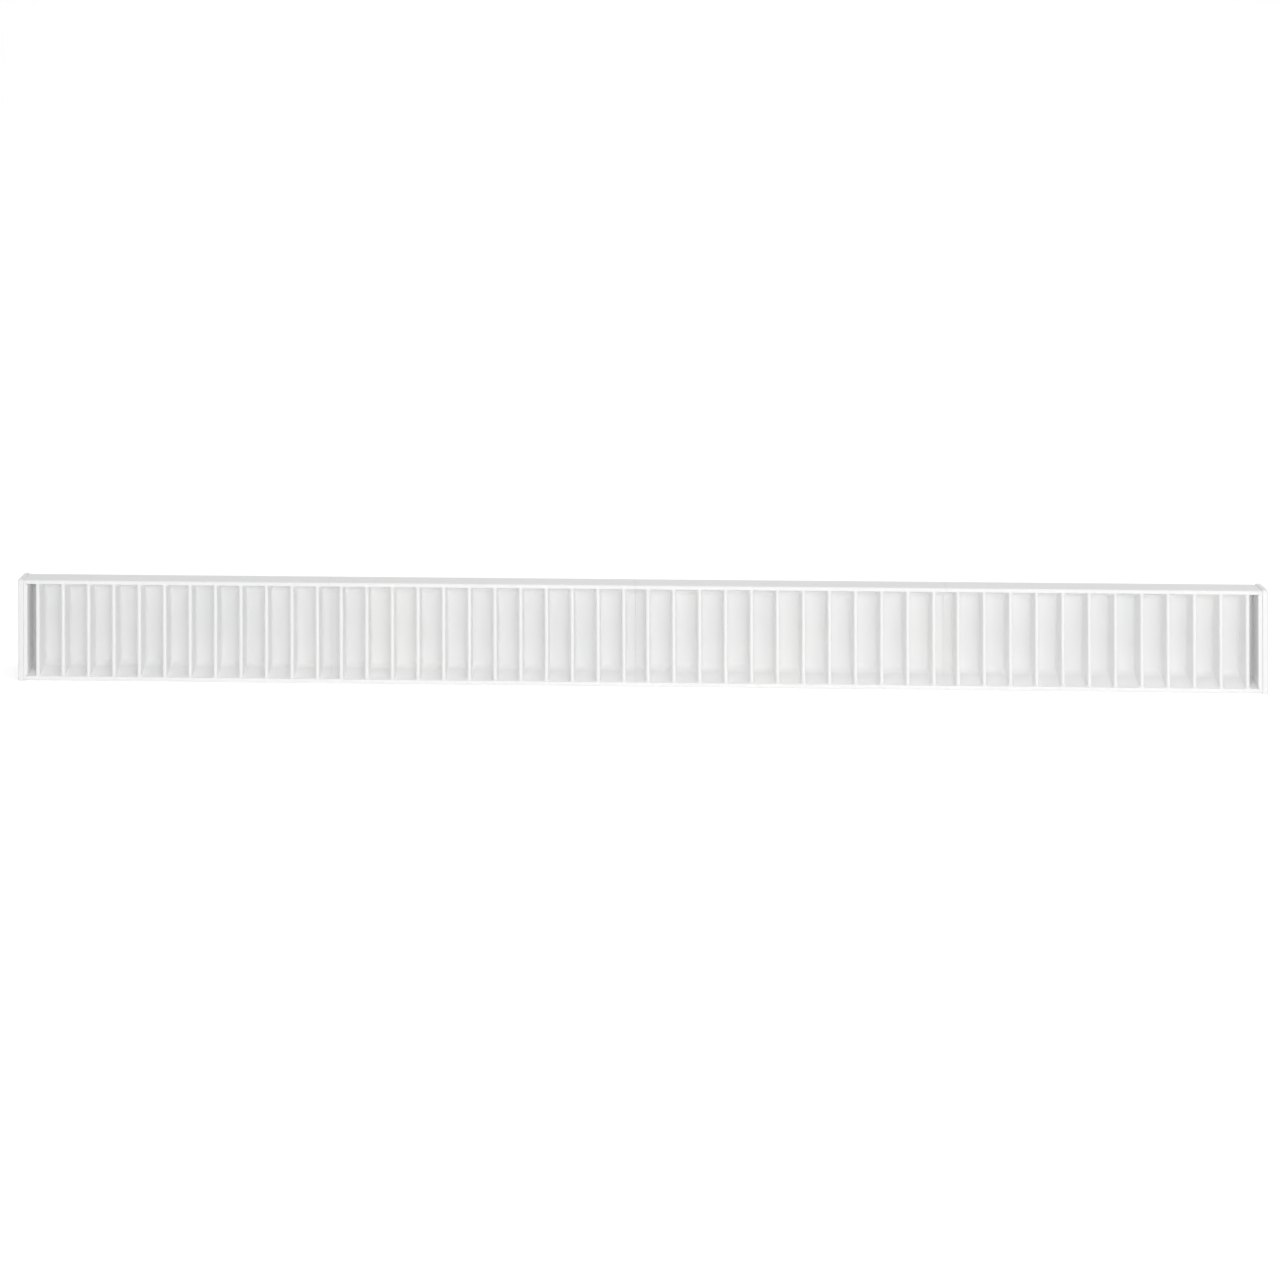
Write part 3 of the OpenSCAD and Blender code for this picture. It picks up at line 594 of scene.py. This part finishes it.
def section_holes(bm):
    """Element grooves, pilot holes and joint holes."""
    end = SECTION_LEN / 2
    joint_depth = 15 * MM
    for side in SIDES:
        groove = 4.05 * MM
        lathe(bm, [(groove, -end), (groove, end)], TO_RIGHT, (0, GROOVE_Y, side * LEG_Z), 48)
        for x0, x1 in ((-end - 1 * MM, -end + joint_depth), (end - joint_depth, end + 1 * MM)):
            lathe(bm, [(2.05 * MM, x0), (2.05 * MM, x1)], TO_RIGHT, (0, JOINT_Y, side * JOINT_Z))
        for x in SIDES:
            place = (x * 110 * MM, 0, side * (TRAY_H / 2 - 5.4 * MM))
            lathe(bm, [(1.5 * MM, TRAY_D - 3.9 * MM), (1.5 * MM, TRAY_D + 1 * MM)], TO_WALL, place, 24)
    for x, z in BOSS_PLACES:
        countersunk = [(1.65 * MM, TRAY_D - 1 * MM), (1.65 * MM, GROOVE_Y - 0.3 * MM),
                       (1.95 * MM, GROOVE_Y), (1.95 * MM, GROOVE_Y + 1 * MM)]
        lathe(bm, countersunk, TO_WALL, (x, 0, z))


def finned_sections():
    """Four castings that share one mesh."""
    master = mesh_object("master_section", tray)
    cut(master, "UNION", section_back)
    cut(master, "DIFFERENCE", section_holes)
    for name in section_names:
        low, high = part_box(name)
        made = new_object("casting_" + name[-1], master.data)
        made.location = at((low.x + high.x) / 2, 0, 0)
        smooth(made)
        finish_piece(made, "heater", "powder_coated_casting", name)
    bpy.data.objects.remove(master)


# ---------------------------------------------------------------- end caps

end_cap_low, end_cap_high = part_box("end_cap_right")
CAP_W = end_cap_high.x - end_cap_low.x
CAP_PROUD = (end_cap_high.z - end_cap_low.z - TRAY_H) / 2
CAP_T = 2.2 * MM
CASING_BACK = TRAY_D + 22 * MM
CASING_HALF = 38 * MM


def row_outline(grow, r, inner_r):
    """Side view of the row in Y and Z, grown all round by grow: the sections joined to the casing."""
    tall, low = TRAY_H / 2 + grow, CASING_HALF + grow
    front, step, back = -grow, TRAY_D + grow, CASING_BACK + grow
    return (arc((front + r, -tall + r), r, 180, 270, 5)
            + arc((step - r, -tall + r), r, 270, 360, 5)
            + arc((step + inner_r, -low - inner_r), inner_r, 180, 90, 5)
            + arc((back - r, -low + r), r, 270, 360, 5)
            + arc((back - r, low - r), r, 0, 90, 5)
            + arc((step + inner_r, low + inner_r), inner_r, 270, 180, 5)
            + arc((step - r, tall - r), r, 0, 90, 5)
            + arc((front + r, tall - r), r, 90, 180, 5))


def cap_shell(bm):
    """A hollow cap, from its inner floor over the rim to its rounded outer face."""
    corner_r, edge_r, fillet = 3 * MM, 1.5 * MM, 0.6 * MM
    turns = [math.radians(90 * k / 5) for k in range(6)]
    floor = CAP_W - CAP_T
    rings = [(floor - fillet * (1 - math.cos(t)), CAP_T + fillet * (1 - math.sin(t))) for t in turns]
    rings += [(0.2 * MM, CAP_T), (0, CAP_T - 0.2 * MM), (0, 0.25 * MM), (0.25 * MM, 0)]
    rings += [(CAP_W - edge_r * (1 - math.sin(t)), edge_r * (1 - math.cos(t))) for t in turns]
    rows = loft(bm, [[(x, y, z) for y, z in row_outline(CAP_PROUD - inset, max(corner_r - inset, 0.8 * MM),
                                                       0.4 * MM + inset)] for x, inset in rings])
    bm.faces.new(rows[0])
    bm.faces.new(rows[-1])


def cap_bosses(bm):
    for side in SIDES:
        lathe(bm, [(3.7 * MM, 0), (4 * MM, 0.3 * MM), (4 * MM, CAP_W - 1 * MM)], TO_RIGHT,
              (0, JOINT_Y, side * JOINT_Z))


def cap_screw_holes(bm):
    for side in SIDES:
        profile = [(2.2 * MM, -1 * MM), (2.2 * MM, CAP_W - 2.2 * MM),
                   (4 * MM, CAP_W), (4 * MM, CAP_W + 1 * MM)]
        lathe(bm, profile, TO_RIGHT, (0, JOINT_Y, side * JOINT_Z))


def end_caps():
    """The right cap, and the left one as its mirror image."""
    right = mesh_object("end_cap_shell_right", cap_shell)
    cut(right, "UNION", cap_bosses)
    cut(right, "DIFFERENCE", cap_screw_holes)
    mirrored = right.data.copy()
    mirrored.transform(Matrix.Scale(-1, 4, TO_RIGHT))
    mirrored.flip_normals()
    left = new_object("end_cap_shell_left", mirrored)
    for made, side, end in ((right, 1, "right"), (left, -1, "left")):
        made.location = at(side * end_cap_low.x, 0, 0)
        smooth(made)
        finish_piece(made, end + "_cap", "powder_coated_casting", "end_cap_" + end)


# ---------------------------------------------------------------- screws

def islands(name):
    """Lowest and highest corners of each loose part of a CAD node."""
    bm = bmesh.new()
    bm.from_mesh(nodes[name].data)
    bmesh.ops.remove_doubles(bm, verts=bm.verts, dist=0.002 * MM)
    for vert in bm.verts:
        vert.tag = False
    boxes = []
    for seed in bm.verts:
        if seed.tag:
            continue
        seed.tag = True
        part = [seed]
        for vert in part:
            for edge in vert.link_edges:
                other = edge.other_vert(vert)
                if not other.tag:
                    other.tag = True
                    part.append(other)
        boxes.append((Vector([min(v.co[i] for v in part) for i in range(3)]),
                      Vector([max(v.co[i] for v in part) for i in range(3)])))
    bm.free()
    return boxes


def pan_head(shank_r, length, head_r, head_h):
    """Radius and height of a pan-head screw from its tip to the top of its head at height 0."""
    profile = [(0.6 * shank_r, -head_h - length), (shank_r, -head_h - length + 0.5 * shank_r),
               (shank_r, -head_h), (head_r - 0.12 * MM, -head_h), (head_r, -head_h + 0.12 * MM)]
    for k in range(6):
        share = math.cos(math.radians(17.5 * k))
        profile.append((head_r * share, -0.6 * head_h * share ** 4))
    return profile


def flat_head(shank_r, length, head_r, head_h):
    """Radius and height of a countersunk screw with a slightly domed top at height 0."""
    return [(0.6 * shank_r, -length), (shank_r, -length + 0.5 * shank_r), (shank_r, -head_h),
            (head_r, -0.35 * MM), (head_r - 0.05 * MM, -0.2 * MM), (0.75 * head_r, -0.08 * MM),
            (0.4 * head_r, -0.02 * MM), (0.1 * head_r, 0)]


def recess(bm, turn, arm, half_w, depth, crossed):
    """A tapered cross or slot that goes down from the top of a head."""
    if crossed:
        quarter = [(1, -half_w / arm), (1, half_w / arm), (half_w / arm, half_w / arm)]
        outline = [point for c, s in ((1, 0), (0, 1), (-1, 0), (0, -1))
                   for point in [(c * x - s * y, s * x + c * y) for x, y in quarter]]
    else:
        outline = [(1, -half_w / arm), (1, half_w / arm), (-1, half_w / arm), (-1, -half_w / arm)]
    rows = loft(bm, [[turn @ Vector((arm * size * x, arm * size * y, z)) for x, y in outline]
                     for size, z in ((1.05, 0.4 * MM), (0.75, -depth))])
    bm.faces.new(rows[0])
    bm.faces.new(rows[-1])


def screws(name, made_name, body, slot, shank_r, head_h, axis=TO_WALL, kind=pan_head, crossed=True):
    """All the screws of a CAD node as one piece, each in its own place."""
    axis = Vector(axis)
    spots = []
    for low, high in islands(name):
        middle, size = (low + high) / 2, high - low
        length = abs(size.dot(axis))
        head_r = (size.x + size.y + size.z - length) / 4
        spots.append((middle + axis * length / 2, length, head_r))

    def bodies(bm):
        for top, length, head_r in spots:
            shank = length - head_h if kind is pan_head else length
            lathe(bm, kind(shank_r, shank, head_r, head_h), axis, top, 28)

    def recesses(bm):
        for i, (top, length, head_r) in enumerate(spots):
            turn = facing(axis, top) @ Matrix.Rotation(random.Random(i).uniform(0, math.pi), 4, "Z")
            recess(bm, turn, 0.6 * head_r, 0.15 * head_r, 0.5 * head_h, crossed)

    made = mesh_object(made_name, bodies)
    cut(made, "DIFFERENCE", recesses)
    smooth(made, 40)
    finish_piece(made, body, slot, name)


def all_screws():
    steel = "zinc_plated_steel"
    screws("clamp_screws", "clamp_pan_heads", "heater", steel, 1.6 * MM, 1.8 * MM)
    screws("plate_screws", "plate_pan_heads", "heater", steel, 1.6 * MM, 1.8 * MM)
    screws("splice_screws", "splice_pan_heads", "heater", steel, 1.6 * MM, 1.6 * MM)
    screws("casing_screws", "casing_pan_heads", "heater", steel, 1.45 * MM, 1.6 * MM)
    screws("cover_screw", "cover_pan_head", "cover", steel, 1.5 * MM, 1.7 * MM)
    screws("terminal_screws", "terminal_slot_heads", "heater", "terminal_brass", 1.1 * MM, 1.8 * MM,
           crossed=False)
    ground_screw()
    for end, axis in (("left", (-1, 0, 0)), ("right", TO_RIGHT)):
        screws(end + "_cap_screws", end + "_cap_flat_heads", end + "_cap", steel, 2 * MM, 2 * MM,
               axis, flat_head)


def ground_screw():
    """The green screw of the ground lead, over its toothed washer."""
    washer, screw = sorted(islands("ground_screw"), key=lambda spot: spot[1].y - spot[0].y)
    head_r, head_h, shank_r = (screw[1].x - screw[0].x) / 2, 2 * MM, 1.6 * MM
    length = screw[1].y - screw[0].y
    tooth_r, hole_r = (washer[1].x - washer[0].x) / 2, 1.8 * MM
    gap_r = 0.88 * tooth_r
    middle = (screw[0] + screw[1]) / 2
    top = Vector((middle.x, screw[1].y, middle.z))
    corners = 4 * 14                                 # two on each of fourteen teeth, two in each gap

    def ring(y, radius_at):
        turns = [2 * math.pi * k / corners for k in range(corners)]
        return [(middle.x + radius_at(k) * math.cos(turn), y, middle.z + radius_at(k) * math.sin(turn))
                for k, turn in enumerate(turns)]

    def toothed(k):
        return gap_r if k % 4 < 2 else tooth_r

    def bore(_):
        return hole_r

    def bodies(bm):
        lathe(bm, pan_head(shank_r, length - head_h, head_r, head_h), TO_WALL, top)
        near, far = washer[0].y, washer[1].y
        loft(bm, [ring(near, toothed), ring(far, toothed), ring(far, bore), ring(near, bore),
                  ring(near, toothed)])

    def cross(bm):
        recess(bm, facing(TO_WALL, top), 0.6 * head_r, 0.15 * head_r, 0.5 * head_h, True)

    made = mesh_object("ground_pan_head", bodies)
    cut(made, "DIFFERENCE", cross)
    smooth(made, 40)
    finish_piece(made, "heater", "green_screw", "ground_screw")


# ---------------------------------------------------------------- heating element and its leads

LEG_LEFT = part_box("heating_element")[0].x + LEG_Z + 4 * MM
LEG_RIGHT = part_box("heating_element")[1].x
PIN_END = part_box("element_pins")[1].x
DECK_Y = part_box("terminal_block")[0].y - LIP_Y       # outer face of the terminal plate
cutout_low, cutout_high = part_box("thermal_cutout")
CUTOUT_X = (cutout_low.x + cutout_high.x) / 2
CUTOUT_Z = 15 * MM
CUTOUT_H = 7 * MM
TAB_X = 10 * MM
LEAD_R = 1.4 * MM
POLE_Y = DECK_Y + 3.6 * MM
POLE_STOP = -6.4 * MM                                # where a wire ends in the terminal block
block_low, block_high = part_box("terminal_block")
POLE_PITCH = 14 * MM
POLE_X = [(block_low.x + block_high.x) / 2 + i * POLE_PITCH for i in (-1, 0, 1)]


def hairpin(bm):
    """The element's sheath: two legs and a round bend, rolled down at the ends."""
    turns = [math.radians(90 + 180 * k / 28) for k in range(29)]
    bend = [at(LEG_LEFT + LEG_Z * math.cos(t), GROOVE_Y, LEG_Z * math.sin(t)) for t in turns]
    ends = [LEG_RIGHT - d for d in (0, 0.5 * MM, 5 * MM, 6 * MM)]
    path = [at(x, GROOVE_Y, LEG_Z) for x in ends] + bend + [at(x, GROOVE_Y, -LEG_Z) for x in reversed(ends)]
    radii = [3.5 * MM, 3.8 * MM, 3.8 * MM, 4 * MM]
    tube(bm, path, radii + [4 * MM] * len(bend) + radii[::-1], 36)


def sensing_bulb(bm):
    """The cutout's capillary tube, closed at its far end."""
    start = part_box("sensing_tube")[0].x
    end = cutout_low.x - 0.05 * MM
    path = bent([at(start, TRAY_D + 3 * MM, 0), at(463.6 * MM, TRAY_D + 3 * MM, 0),
                 at(475.6 * MM, DECK_Y + CUTOUT_H / 2, 6 * MM),
                 at(end, DECK_Y + CUTOUT_H / 2, CUTOUT_Z)], 9 * MM)
    path.insert(1, path[0] + Vector((1 * MM, 0, 0)))
    tube(bm, path, [0.7 * MM] + [1.2 * MM] * (len(path) - 1), 16)


def crimps(name, ends):
    """Crimped sleeves on the ends of leads. Each end is a node, a place and the lead's way from there."""
    full, pinched = 1.7 * MM, 1.5 * MM
    profile = [(0, pinched), (0.3, full), (1.4, full), (1.7, pinched),      # rim, bell and the first pinch
               (2.6, pinched), (2.9, full), (3.6, full), (3.8, pinched)]    # second bell and rim

    def build(bm):
        for _, place, way in ends:
            path = [at(*place) + along * MM * Vector(way) for along, _ in profile]
            tube(bm, path, [radius for _, radius in profile], 20)

    made = mesh_object(name, build)
    smooth(made)
    finish_piece(made, "heater", "terminal_brass", *[node for node, _, _ in ends])


def lead(name, slot, node, points):
    """A lead that bends softly from point to point, pinched at both ends."""
    path = bent([at(*point) for point in points], 7 * MM)
    radii = [LEAD_R] * len(path)
    radii[0] = radii[-1] = 0.85 * LEAD_R
    made = mesh_object(name, lambda bm: tube(bm, path, radii, 18))
    smooth(made, 50)
    finish_piece(made, "heater", slot, node)


def element_parts():
    sheath = mesh_object("element_hairpin", hairpin)
    smooth(sheath)
    finish_piece(sheath, "heater", "element_sheath", "heating_element")
    capillary = mesh_object("capillary_tube", sensing_bulb)
    smooth(capillary, 50)
    finish_piece(capillary, "heater", "copper_tube", "sensing_tube")

    tab_y = DECK_Y + CUTOUT_H + LEAD_R + 0.2 * MM
    pin = PIN_END + 0.05 * MM
    left_tab, right_tab = CUTOUT_X - TAB_X, CUTOUT_X + TAB_X
    lead("lead_pin_to_cutout", "black_lead", "lead_element_to_cutout",
         [(pin, GROOVE_Y, LEG_Z), (pin + 4 * MM, GROOVE_Y, LEG_Z), (pin + 20 * MM, tab_y - 1 * MM, 30 * MM),
          (left_tab, tab_y, 23 * MM), (left_tab, tab_y, CUTOUT_Z + 0.55 * MM)])
    lead("lead_cutout_to_middle_pole", "red_lead", "lead_cutout_to_block",
         [(right_tab, tab_y, CUTOUT_Z - 0.55 * MM), (right_tab, tab_y, 4 * MM),
          (POLE_X[1], POLE_Y + 2 * MM, 1 * MM), (POLE_X[1], POLE_Y, -2 * MM), (POLE_X[1], POLE_Y, POLE_STOP)])
    lead("lead_pin_to_first_pole", "black_lead", "lead_element_to_block",
         [(pin, GROOVE_Y, -LEG_Z), (pin + 3 * MM, GROOVE_Y, -LEG_Z),
          (pin + 14 * MM, POLE_Y + 1 * MM, -3 * MM),
          (POLE_X[0] - 4 * MM, POLE_Y + 2 * MM, 2 * MM), (POLE_X[0], POLE_Y, -1 * MM),
          (POLE_X[0], POLE_Y, POLE_STOP)])
    crimps("lead_sleeves", [("lead_element_to_cutout", (pin, GROOVE_Y, LEG_Z), (1, 0, 0)),
                            ("lead_element_to_block", (pin, GROOVE_Y, -LEG_Z), (1, 0, 0)),
                            ("lead_element_to_cutout", (left_tab, tab_y, CUTOUT_Z + 0.6 * MM), (0, 0, 1)),
                            ("lead_cutout_to_block", (right_tab, tab_y, CUTOUT_Z - 0.6 * MM), (0, 0, -1))])
    screw_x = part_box("ground_screw")[0].x + 4 * MM
    lead("lead_ground", "green_lead", "ground_lead",
         [(POLE_X[2], POLE_Y, POLE_STOP), (POLE_X[2], POLE_Y, 1 * MM), (screw_x, POLE_Y, -9 * MM),
          (screw_x, GROOVE_Y + 0.05 * MM + LEAD_R, -26.45 * MM)])


# ---------------------------------------------------------------- thermal cutout

def wiring_parts():
    """The cutout's moulding with its blades."""
    half_w, half_h = 18 * MM, 9 * MM
    made = mesh_object("cutout_body", lambda bm: block(bm, at(CUTOUT_X - half_w, DECK_Y, CUTOUT_Z - half_h),
                                                       at(CUTOUT_X + half_w, DECK_Y + CUTOUT_H,
                                                          CUTOUT_Z + half_h)))

    def hollows(bm):
        """Socket of the capillary tube and a round well in the middle."""
        lathe(bm, [(1.3 * MM, -1 * MM), (1.3 * MM, 8 * MM)], TO_RIGHT,
              at(CUTOUT_X - half_w, DECK_Y + CUTOUT_H / 2, CUTOUT_Z), 20)
        lathe(bm, [(4.6 * MM, CUTOUT_H - 0.8 * MM), (4.9 * MM, CUTOUT_H + 1 * MM)], TO_WALL,
              at(CUTOUT_X, DECK_Y, CUTOUT_Z), 36)

    def ears(bm):
        """Steps at both ends, down to the feet of the moulding."""
        for side in SIDES:
            inner, outer = CUTOUT_X + side * 14.6 * MM, CUTOUT_X + side * 20 * MM
            for z0, z1 in ((-10, -4.2), (4.2, 10)):
                block(bm, at(min(inner, outer), DECK_Y + 2.2 * MM, CUTOUT_Z + z0 * MM),
                      at(max(inner, outer), DECK_Y + 9 * MM, CUTOUT_Z + z1 * MM))

    cut(made, "DIFFERENCE", hollows)
    cut(made, "DIFFERENCE", ears)
    soften(made, 0.4 * MM, 40)
    smooth(made)
    finish_piece(made, "heater", "cutout_moulding", "thermal_cutout")

    def blades(bm):
        """Two blade terminals with bevelled tips."""
        tip = cutout_high.y - LIP_Y
        outline = [(-3, CUTOUT_H + DECK_Y - 0.5 * MM), (3, CUTOUT_H + DECK_Y - 0.5 * MM), (3, tip - 0.9 * MM),
                   (2.2, tip), (-2.2, tip), (-3, tip - 0.9 * MM)]
        for x in (CUTOUT_X - TAB_X, CUTOUT_X + TAB_X):
            rows = loft(bm, [[at(x + dx * MM, y, CUTOUT_Z + z * MM) for dx, y in outline]
                             for z in (-0.5, 0.5)])
            for row in rows:
                bm.faces.new(row)

    made = mesh_object("cutout_blades", blades)
    soften(made, 0.12 * MM)
    smooth(made)
    finish_piece(made, "heater", "terminal_brass", "thermal_cutout")


# ---------------------------------------------------------------- rubber parts and knockouts

def turned(name, body, slot, node, profile, hollow=False, steps=48):
    """A turned piece for each loose part of a CAD node; its profile is in radius and depth from the lips."""
    def build(bm):
        for low, high in islands(node):
            middle = (low + high) / 2
            lathe(bm, profile, TO_WALL, (middle.x, LIP_Y, middle.z), steps, hollow)

    made = mesh_object(name, build)
    smooth(made, 40)
    finish_piece(made, body, slot, node)


def rubber_parts():
    grommet = [(6.5, 54.2), (6.7, 53.3), (7.3, 52.85), (10.0, 52.8), (10.6, 53.1), (11.0, 54.6), (11.0, 58.4),
               (11.0, 60.0), (11.0, 60.05), (12.6, 60.05), (12.9, 60.25), (13.0, 60.6), (12.8, 61.2),
               (12.3, 61.5), (11.6, 61.6), (7.6, 61.6), (6.9, 61.35), (6.55, 60.8), (6.5, 60.2)]
    turned("cable_grommet", "heater", "black_rubber", "cable_bushing",
           [(r * MM, y * MM) for r, y in grommet], hollow=True)
    button = [(1.2, 55.8), (1.8, 55.85), (3.1, 57.7), (3.2, 58.1), (3.1, 58.2), (2.4, 58.25), (2.4, 60.05),
              (5.6, 60.05), (5.9, 60.2), (6.0, 60.6), (6.0, 61.4), (5.7, 62.1), (5.0, 62.45), (4.4, 62.5),
              (1.6, 62.5), (1.4, 62.2), (0.3, 62.15)]
    turned("wall_buttons", "heater", "black_rubber", "wall_spacers", [(r * MM, y * MM) for r, y in button])
    disc = [(0.3, 58.8), (10.7, 58.8), (10.95, 59.0), (10.95, 59.8), (10.75, 60.0), (7.0, 60.0), (6.6, 59.9),
            (6.2, 59.7), (0.3, 59.7)]
    turned("knockout_slugs", "heater", "enamelled_sheet", "knockout_discs",
           [(r * MM, y * MM) for r, y in disc])


# ---------------------------------------------------------------- insulation

def insulation():
    """A slab of needled fibre: soft edges and lumpy faces."""
    low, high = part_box("insulation_blanket")
    window_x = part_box("wall_bracket_right")[0].x + 40 * MM
    openings = [(x - 34 * MM, x + 34 * MM) for x in (-window_x, window_x)]
    sill, head = MID_Z - 3 * MM, MID_Z + 26 * MM
    grid = 5 * MM

    def lines(start, end, stops):
        """Coordinates from start to end about a grid apart that pass through all the stops."""
        marks = sorted([start, end] + stops)
        made = []
        for a, b in zip(marks, marks[1:]):
            count = max(1, round((b - a) / grid))
            made += [a + (b - a) * k / count for k in range(count)]
        return made + [end]

    xs = lines(low.x, high.x, [x for pair in openings for x in pair])
    zs = lines(low.z, high.z, [sill, head])

    def sheet(bm):
        verts = [[bm.verts.new((x, high.y, z)) for z in zs] for x in xs]
        for i, x in enumerate(xs[:-1]):
            for j, z in enumerate(zs[:-1]):
                middle_x, middle_z = (x + xs[i + 1]) / 2, (z + zs[j + 1]) / 2
                if sill < middle_z < head and any(a < middle_x < b for a, b in openings):
                    continue
                bm.faces.new((verts[i][j], verts[i + 1][j], verts[i + 1][j + 1], verts[i][j + 1]))

    def through(bm):
        for spot_low, spot_high in islands("wall_spacers"):
            spot = (spot_low + spot_high) / 2
            if spot.x < high.x:
                lathe(bm, [(4 * MM, low.y - 1 * MM), (4 * MM, high.y + 1 * MM)], TO_WALL,
                      (spot.x, 0, spot.z), 24)

    made = mesh_object("fibre_slab", sheet)
    thick = made.modifiers.new("thickness", "SOLIDIFY")
    thick.thickness = high.y - low.y
    thick.offset = -1 if made.data.polygons[0].normal.y > 0 else 1
    bake(made)
    cut(made, "DIFFERENCE", through)
    soften(made, 1.4 * MM, 60, 3)
    bake(made)
    middle_y, half_t = (low.y + high.y) / 2, (high.y - low.y) / 2
    for vert in made.data.vertices:
        face = (vert.co.y - middle_y) / half_t
        lump = 0.5 + 0.5 * noise.noise(vert.co / (26 * MM)) + 0.25 * noise.noise(vert.co / (9 * MM))
        vert.co.y -= face * 0.55 * MM * min(max(lump, 0), 1)
    made.data.update()
    smooth(made, 70)
    finish_piece(made, "heater", "ceramic_fibre", "insulation_blanket")


# Edges of thin or small CAD nodes are rounded less than the others'.
SOFT_EDGES = {"reflector": 0.1 * MM, "bulkhead": 0.15 * MM, "element_clamps": 0.2 * MM,
              "terminal_block": 0.3 * MM, "hinge_pin": 0.2 * MM,
              "wall_bracket_left": 0.35 * MM, "wall_bracket_right": 0.35 * MM}


# ---------------------------------------------------------------- carried-over CAD nodes

def carry_over(name, slot, width, angle=32):
    """Keeps a CAD node, with its sharp edges rounded by width and its own finish."""
    node = nodes[name]
    weld = node.modifiers.new("weld", "WELD")
    weld.merge_threshold = 0.002 * MM
    flat = node.modifiers.new("merge_flat_faces", "DECIMATE")
    flat.decimate_type = "DISSOLVE"
    flat.angle_limit = math.radians(0.5)
    if width:
        soften(node, width, angle)
    node.data.polygons.foreach_set("use_smooth", [True] * len(node.data.polygons))
    weighted = node.modifiers.new("weighted_normals", "WEIGHTED_NORMAL")
    weighted.keep_sharp = True
    for i in range(len(node.data.materials)):
        node.material_slots[i].link = "OBJECT"
        node.material_slots[i].material = finishes[slot]


finned_sections()
end_caps()
all_screws()
element_parts()
wiring_parts()
rubber_parts()
insulation()

for name, node in nodes.items():
    if not node.hide_render:
        carry_over(name, node.data.materials[0].name, SOFT_EDGES.get(name, 0.25 * MM))


# ---------------------------------------------------------------- stage, light and camera

def stage():
    """A pale floor that curves up into a backdrop."""
    half_w, front, back, bend, height = 9.0, -6.0, 5.0, 1.5, 5.0
    profile = [(front, 0)] + arc((back, bend), bend, 270, 360, 16) + [(back + bend, height)]
    made = mesh_object("floor", lambda bm: loft(bm, [[(x, y, z) for y, z in profile]
                                                    for x in (-half_w, half_w)], closed=False))
    s = Shader("floor")
    s.set(Base_Color=s.blend(s.noise(0.8, 2), (0.90, 0.90, 0.90), (0.93, 0.93, 0.93)))
    s.set(Roughness=s.between(s.noise(0.2, 2), 0.65, 0.8))
    seen = s.node("LightPath").outputs["Is Camera Ray"]     # the glow whitens the ground, not the heater
    s.set(Emission_Color=(1, 1, 1, 1), Emission_Strength=s.between(seen, 0.14, 0.40, 0, 1))
    made.data.materials.append(s.material)
    smooth(made, 60)


def area_light(name, size, power, place, target):
    """A soft rectangular light at place that faces target."""
    data = bpy.data.lights.new(name, "AREA")
    data.shape = "RECTANGLE"
    data.size, data.size_y = size
    data.energy = power
    made = bpy.data.objects.new(name, data)
    made.location = place
    made.rotation_euler = (Vector(target) - Vector(place)).to_track_quat("-Z", "Y").to_euler()
    bpy.context.scene.collection.objects.link(made)


def world(strength):
    """Even white light from all round."""
    made = bpy.data.worlds.new("studio")
    made.use_nodes = True
    made.node_tree.nodes["Background"].inputs["Color"].default_value = (1, 1, 1, 1)
    made.node_tree.nodes["Background"].inputs["Strength"].default_value = strength
    bpy.context.scene.world = made


def camera():
    """A long lens in front of the heater and above it. The lens is shifted, so uprights stay upright."""
    place = Vector((-0.025, -3.400, 0.6638))
    yaw, roll = math.radians(3.628), math.radians(-0.097)
    data = bpy.data.cameras.new("camera")
    data.sensor_width = 36
    data.lens = 95.51
    made = bpy.data.objects.new("camera", data)
    turn = Matrix.Rotation(yaw, 4, "Z") @ Matrix.Rotation(math.pi / 2, 4, "X")
    made.matrix_world = Matrix.Translation(place) @ turn @ Matrix.Rotation(roll, 4, "Z")
    bpy.context.scene.collection.objects.link(made)
    bpy.context.scene.camera = made

    # The shift belongs to the view from this place, so other views stay centred.
    home = bpy.data.objects.new("camera_home", None)
    home.location = place
    bpy.context.scene.collection.objects.link(home)
    for path, shift in (("shift_x", 0.1920), ("shift_y", -0.4864)):
        driver = data.driver_add(path).driver
        distance = driver.variables.new()
        distance.name = "distance"
        distance.type = "LOC_DIFF"
        distance.targets[0].id = made
        distance.targets[1].id = home
        driver.expression = f"{shift} if distance < 0.001 else 0"


stage()
world(0.38)
area_light("key_left", (2.2, 0.8), 12, (-0.5, -3.6, 0.45), (0, 0, 0.05))
area_light("key_right", (2.2, 0.8), 32, (1.0, -3.6, 0.45), (0.5, 0, 0.05))
area_light("overhead", (3.0, 1.0), 31, (0.5, -1.2, 3.0), (0.3, 0, 0.05))
area_light("behind", (5.0, 3.0), 45, (0.0, 3.4, 3.6), (0, 3.2, 0))
camera()
bpy.context.scene.view_settings.view_transform = "Standard"
bpy.context.scene.cycles.diffuse_bounces = 10    # light that has bounced between the white fins
